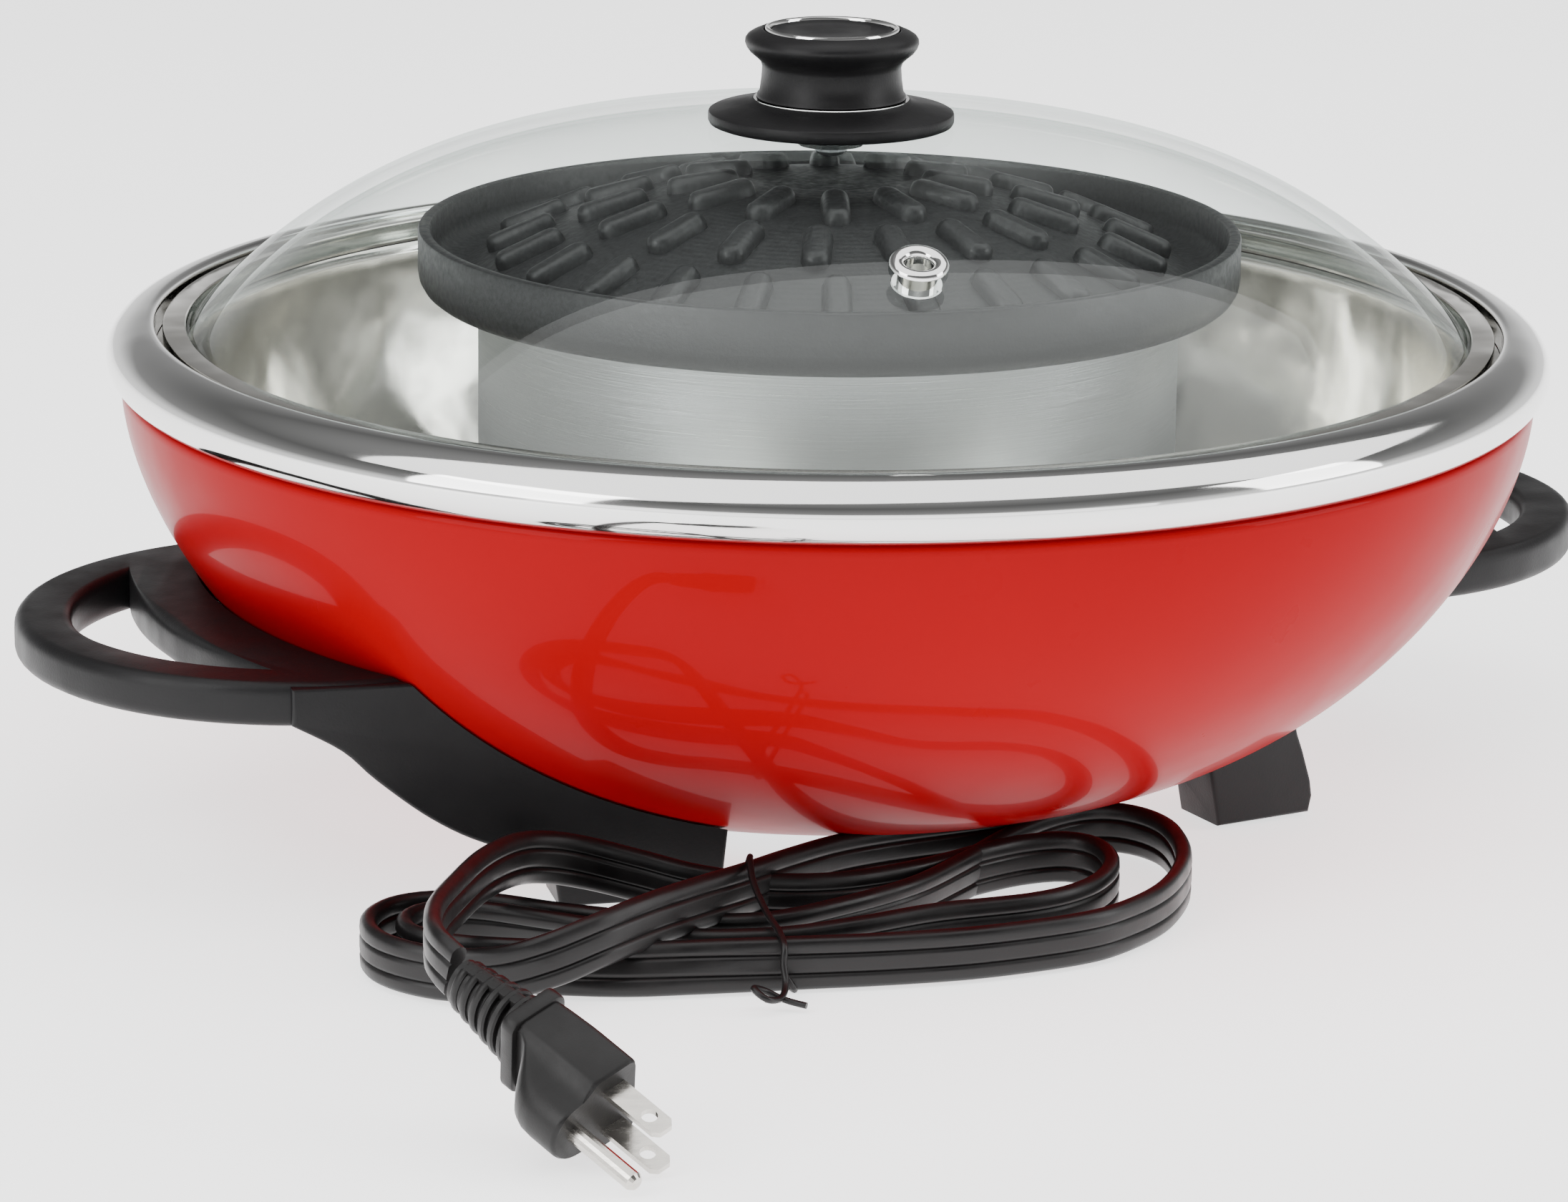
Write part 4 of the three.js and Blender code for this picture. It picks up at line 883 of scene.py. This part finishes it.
hole_a, hole_b = LOOP_A - LOOP_BAR, LOOP_B - LOOP_BAR
corner = 0.0
while ((WEB_R * math.cos(corner) - LOOP_X) / hole_a) ** 2 + (WEB_R * math.sin(corner) / hole_b) ** 2 < 1:
    corner += 0.001
hole_end = math.atan2(WEB_R * math.sin(corner) / hole_b, (WEB_R * math.cos(corner) - LOOP_X) / hole_a)
finger_hole = [
    (LOOP_X + hole_a * math.cos(a), hole_b * math.sin(a))
    for a in (hole_end * (-1 + 2 * i / 40) for i in range(41))
] + [
    (WEB_R * math.cos(a), WEB_R * math.sin(a))
    for a in (corner * (1 - 2 * i / 24) for i in range(1, 24))
]


def loop_reach(across, along):
    """How far the loop's outside is from the middle of the finger hole, in one direction."""
    back = HOLE_MIDDLE - LOOP_X
    a = (across / LOOP_A) ** 2 + (along / LOOP_B) ** 2
    b = 2 * back * across / LOOP_A ** 2
    c = (back / LOOP_A) ** 2 - 1
    reach = (math.sqrt(b * b - 4 * a * c) - b) / (2 * a)
    return min(reach, (LOOP_BACK - HOLE_MIDDLE) / across) if across < 0 else reach


loop_verts = []
for x, y in finger_hole:
    inner = math.hypot(x - HOLE_MIDDLE, y)
    across, along = (x - HOLE_MIDDLE) / inner, y / inner
    outer = loop_reach(across, along)
    for quarter in range(4):
        reach = (inner + LOOP_EDGE, outer - LOOP_EDGE)[quarter in (1, 2)]
        level = LOOP_Z + (LOOP_EDGE, LOOP_H - LOOP_EDGE)[quarter in (2, 3)]
        for step in range(EDGE_STEPS + 1):
            a = math.pi + (quarter + step / EDGE_STEPS) * math.pi / 2
            r = reach + LOOP_EDGE * math.cos(a)
            loop_verts.append((
                HOLE_MIDDLE + across * r, along * r, level + LOOP_EDGE * math.sin(a),
            ))
loop_faces = hoop_faces(len(finger_hole), 4 * (EDGE_STEPS + 1))
loop_plate = welded(mesh_of("loop", loop_verts, loop_faces))

arm_low = smooth_line([
    (FOOT_L / 2 + 2.6, 14.4, 0), (42, 19.5, 0), (56, 27, 0), (70, 38, 0), (79, 46.5, 0), (92, 54, 0),
], 3)
arm_edge = [
    (-FOOT_L / 2, 0.8), (FOOT_L / 2 + 0.4, 0.8), *[(x, z) for x, z, _ in arm_low],
    (92, 64), (40, 64), (-FOOT_L / 2 - 3, 30),
]
shell_cut = [(0, 9.5)] + [(r + 0.5, z - 0.5) for r, z in shell_side] + [(196.5, FLANGE_Z), (0, FLANGE_Z)]
CUT_STEPS = 256
cutter = welded(mesh_of("shell_cut", [
    (r * math.cos(a), r * math.sin(a), z)
    for a in (i * math.tau / CUT_STEPS for i in range(CUT_STEPS)) for r, z in shell_cut
], hoop_faces(CUT_STEPS, len(shell_cut))))
block_edge = [
    (-FOOT_IN, 0.8), (FOOT_OUT - 1, 0.8), (FOOT_OUT, 5.5), (FOOT_OUT - 0.7, 10), (FOOT_OUT - 2, 14),
    (FOOT_OUT - 3.6, 19), (FOOT_OUT - 5.5, 24), (FOOT_OUT - 9, 40), (-FOOT_IN - 5, 40),
    (-FOOT_IN - 3, 16),
]


def standing(outline, side, turn):
    """A slab stood on edge over a foot's screw, turned about it."""
    upright = slab("upright", outline, ARM_W, 1.2, -ARM_W / 2)
    upright.transform(
        Matrix.Translation((FOOT_X * MM, side * FOOT_Y * MM, 0))
        @ Matrix.Rotation(turn, 4, "Z") @ Matrix.Rotation(math.pi / 2, 4, "X")
    )
    return upright


for side_name, half_turn in (("right", 0), ("left", math.pi)):
    frame_shape = combined(loop_plate.copy(), [standing(arm_edge, 1, ARM_TURN)], "UNION")
    for name, shape, node in (
        ("handle_" + side_name, frame_shape, "handle_frame_" + side_name),
        ("foot_" + side_name, standing(block_edge, -1, BLOCK_TURN), "foot_block_" + side_name),
    ):
        shape = combined(shape, [cutter.copy()], "DIFFERENCE")
        shape.transform(Matrix.Rotation(half_turn, 4, "Z"))
        settle(name, shape, phenolic, "base", [node], sharp=32)


# ---- hidden fittings ----------------------------------------------------------------------
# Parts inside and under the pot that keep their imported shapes: zinc-plated sheet and screws,
# sheathed elements, rubber pads, moulded terminals and the leads. Each gets its own finish.
def fitting(name, colour, other, rough, metallic, scale, depth, nodes, stretch=(1, 1, 1)):
    """A clouded finish between two colours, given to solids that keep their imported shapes."""
    finish = Finish(name, colour, rough[0], metallic)
    cloud = finish.noise(scale, 4, 0.6, stretch)
    finish.set("Base Color", finish.tint(cloud, colour, other))
    finish.set("Roughness", finish.between(cloud, *rough))
    finish.bump(finish.noise(scale * 9, 2), depth, 0.6)
    refinish(finish, *nodes)
    return finish


fitting("zinc_plate", (0.42, 0.43, 0.44), (0.3, 0.31, 0.33), (0.3, 0.5), 1.0, 45, 0.00004, [
    "reflector_pan", "bottom_cover", "knob_screw",
    *(f"cover_screw_{i}" for i in range(1, 5)), *(f"frame_screw_{i}" for i in range(1, 5)),
])
fitting("element_sheath", (0.2, 0.19, 0.18), (0.11, 0.1, 0.1), (0.45, 0.65), 1.0, 70, 0.00005, [
    "grill_element", "pot_element",
])
rubber = fitting("black_rubber", (0.02, 0.02, 0.02), (0.035, 0.034, 0.033), (0.7, 0.9), 0.0, 160, 0.0001, [
    "knob_washer", *(f"foot_pad_{i}" for i in range(1, 5)),
])
fitting("white_moulding", (0.62, 0.6, 0.54), (0.55, 0.52, 0.46), (0.45, 0.6), 0.0, 80, 0.00005, [
    "terminal_block", "thermostat",
])
for lead_finish, colour, other, lead in (
    ("brown_lead", (0.09, 0.045, 0.02), (0.07, 0.035, 0.017), "live_lead"),
    ("green_lead", (0.07, 0.2, 0.03), (0.055, 0.16, 0.025), "earth_lead"),
    ("blue_lead", (0.03, 0.07, 0.27), (0.025, 0.055, 0.21), "neutral_lead"),
):
    fitting(lead_finish, colour, other, (0.4, 0.55), 0.0, 90, 0.00004, [lead])
fitting("turned_brass", (0.52, 0.36, 0.13), (0.42, 0.29, 0.1), (0.25, 0.4), 1.0, 60, 0.00003, [
    "dial_shaft",
], (1, 12, 1))


# ---- control box --------------------------------------------------------------------------
# Behind the pot: a phenolic box under the shell with a flat face, a round heat dial that turns
# on it, and an amber pilot lens. The cord leaves it forwards through a rubber gland.
BOX_HALF_W, BOX_LOW_Z, BOX_HIGH_Z = 38, 2.5, 44
FACE_Y, FACE_T, DIAL_Z, LENS_X = 162.3, 2.5, 24, 27
refinish(phenolic, "control_box")


def rounded_face(inset, y, radius=5.0):
    """The face plate's outline at y, its corners rounded."""
    points = []
    low, high = BOX_LOW_Z + radius, BOX_HIGH_Z - radius
    for cx, cz, start in (
        (BOX_HALF_W - radius, high, 0), (radius - BOX_HALF_W, high, 90),
        (radius - BOX_HALF_W, low, 180), (BOX_HALF_W - radius, low, 270),
    ):
        for i in range(9):
            a = math.radians(start + 90 * i / 8)
            points.append((cx + (radius - inset) * math.cos(a), y, cz + (radius - inset) * math.sin(a)))
    return points


face_plate = welded(mesh_of("face", *lofted([
    rounded_face(0, FACE_Y), rounded_face(0, FACE_Y + FACE_T - 0.8),
    rounded_face(0.25, FACE_Y + FACE_T - 0.25), rounded_face(0.8, FACE_Y + FACE_T),
])))
along_y = Matrix.Rotation(-math.pi / 2, 4, "X")


def face_hole(radius, x, count=64):
    """A round bar through the face at the dial's height, to cut a hole with."""
    return welded(mesh_of("face_hole", *lofted([
        [(x + radius * math.cos(a), y, DIAL_Z + radius * math.sin(a))
         for a in (i * math.tau / count for i in range(count))]
        for y in (FACE_Y - 4, FACE_Y + 8)
    ])))


face_cut = combined(face_plate, [face_hole(3.5, 0), face_hole(4.3, LENS_X)], "DIFFERENCE")
settle("dial_face", face_cut, phenolic, "base", ["control_face"], sharp=32)

# A printed scale of plain marks round the dial, in off-white paint.
marking = Finish("white_marking", (0.7, 0.69, 0.65), 0.5)
marking.set("Roughness", marking.between(marking.noise(200, 3), 0.42, 0.6))
mark = mesh_of("mark", *lofted([
    [(x, y, z) for x, z in ((-0.35, 18), (0.35, 18), (0.35, 20), (-0.35, 20))]
    for y in (0.0, 0.06)
]))


def mark_fan(tree, given):
    """Marks in a fan round the dial's axis, which is Y."""
    line = node_in(tree, "GeometryNodeMeshLine", {"Count": given["Marks"], "Offset": (0, 0, 0)})[0]
    index = node_in(tree, "GeometryNodeInputIndex", {})[0]
    turn = node_in(tree, "ShaderNodeMath", {0: index, 1: given["Step"], 2: given["Start"]},
                   operation="MULTIPLY_ADD")[0]
    facing = node_in(tree, "ShaderNodeCombineXYZ", {1: turn})[0]
    return node_in(tree, "GeometryNodeInstanceOnPoints", {
        "Points": line, "Instance": given["Geometry"], "Rotation": facing,
    })[0]


mark_mesh = repeated("dial_marks", {
    "Marks": ("Int", 10), "Step": ("Float", math.radians(30)), "Start": ("Float", math.radians(-135)),
}, mark, marking, mark_fan)
mark_mesh.transform(Matrix.Translation((0, (FACE_Y + FACE_T + 0.02) * MM, DIAL_Z * MM)))
settle("dial_marks", mark_mesh, marking, "base")

# The dial: a skirt, a waist with thirty small flutes, and a straight bar to grip.
DIAL_R, DIAL_FROM, DIAL_POINTS = 16, 3.0, 120
FLUTES, FLUTE_DEEP = 30, 0.35
GRIP_HALF_W, GRIP_HALF_L = 3, 13
dial_rows = []
for r, h, fluted in (
    (0.01, DIAL_FROM, 0), (DIAL_R - 0.4, DIAL_FROM, 0), (DIAL_R, DIAL_FROM + 0.4, 0), (DIAL_R, 6, 0),
    (15.4, 6.6, 0), (14, 7, 1), (13.2, 7.8, 1), (13, 10.4, 1), (12.4, 11, 0), (0.01, 11, 0),
):
    row = []
    for i in range(DIAL_POINTS):
        a = i * math.tau / DIAL_POINTS
        wave = fluted * FLUTE_DEEP * math.cos(FLUTES * a)
        row.append(((r + wave) * math.cos(a), (r + wave) * math.sin(a), h))
    dial_rows.append(row)
grip_rows = [
    [(x * (GRIP_HALF_W - i), y * (GRIP_HALF_L - i), z) for x, y in ((-1, -1), (1, -1), (1, 1), (-1, 1))]
    for z, i in ((10.5, 0), (15.2, 0.1), (15.8, 0.4), (16, 0.9))
]
dial_mesh = combined(
    welded(mesh_of("dial_body", *lofted(dial_rows))),
    [welded(mesh_of("dial_grip", *lofted(grip_rows)))], "UNION",
)
carried(dial_mesh, Matrix.Translation((0, FACE_Y, DIAL_Z)) @ along_y)
settle("heat_dial", dial_mesh, phenolic, "dial", ["dial"], sharp=30)

amber = Finish("amber_lens", (0.75, 0.2, 0.015), 0.12, 0.0, Coat_Weight=0.6)
amber.set("Base Color", amber.tint(amber.noise(300, 2), (0.8, 0.24, 0.02), (0.62, 0.14, 0.01)))
LENS_H = 3.88
lens_outline = [(r, h * LENS_H) for r, h in (
    (0, -1), (4, -1), (4, 0.8), (3.6, 0.9), (2.8, 0.9625), (1.5, 0.995), (0, 1),
)]
lens_frame = Matrix.Translation((LENS_X, FACE_Y, DIAL_Z)) @ along_y
turned("pilot_lamp", lens_outline, amber, "base", "amber_lens", ["pilot_lens"], 48,
       axis_frame=lens_frame)
refinish(rubber, "cord_gland")


# ---- floor and light ----------------------------------------------------------------------
# A plain pale table, wide soft lights and a white surround that the metal can mirror.
floor_finish = Finish("pale_floor", (0.93, 0.93, 0.93), 0.6)
floor_finish.set("Roughness", floor_finish.between(floor_finish.noise(3, 2), 0.55, 0.7))
floor_finish.set("Emission Color", (1.0, 1.0, 1.0, 1.0))
floor_finish.set("Emission Strength", 1.6)
FLOOR_HALF, FLOOR_Z = 9000, -0.4
floor_mesh = mesh_of("floor", [
    (x * FLOOR_HALF, y * FLOOR_HALF, FLOOR_Z) for x, y in ((-1, -1), (1, -1), (1, 1), (-1, 1))
], [(0, 1, 2, 3)])
floor_mesh.materials.append(floor_finish.material)
linked("floor", floor_mesh)

world = bpy.data.worlds.new("surround")
bpy.context.scene.world = world
world.use_nodes = True
sky = world.node_tree
direction = node_in(sky, "ShaderNodeTexCoord", {})["Generated"]
height = node_in(sky, "ShaderNodeSeparateXYZ", {0: direction})[2]
shading = node_in(sky, "ShaderNodeValToRGB", {0: height})[0]
# How white the surround is at each height, from level with the eye to overhead.
SURROUND = ((0.0, 0.95), (0.1, 0.8), (0.25, 0.22), (0.55, 0.1), (0.8, 0.2))
stops = shading.node.color_ramp.elements
stops[-1].position = SURROUND[-1][0]
for at, _ in SURROUND[1:-1]:
    stops.new(at)
for stop, (_, shade) in zip(stops, SURROUND):
    stop.color = (shade, shade, shade, 1)
sky.links.new(shading, sky.nodes["Background"].inputs[0])
sky.nodes["Background"].inputs[1].default_value = 1.35


def softbox(name, place, aim, wide, high, power):
    """A rectangular lamp in metres and watts, turned to face a point."""
    lamp = bpy.data.lights.new(name, "AREA")
    lamp.shape = "RECTANGLE"
    lamp.size, lamp.size_y, lamp.energy = wide, high, power
    box = linked(name, lamp)
    box.location = place
    box.rotation_euler = (Vector(aim) - Vector(place)).to_track_quat("-Z", "Y").to_euler()


softbox("overhead", (0, -0.2, 1.9), (0, 0, 0.1), 5.5, 2.4, 90)
softbox("left_box", (-1.9, -0.5, 0.9), (0, 0, 0.1), 1.1, 1.3, 26)
softbox("right_box", (1.6, -1.2, 0.8), (0, 0, 0.1), 0.9, 1.2, 18)
softbox("front_low", (-1.0, -2.3, 0.35), (0, 0, 0.05), 5.5, 0.5, 14)
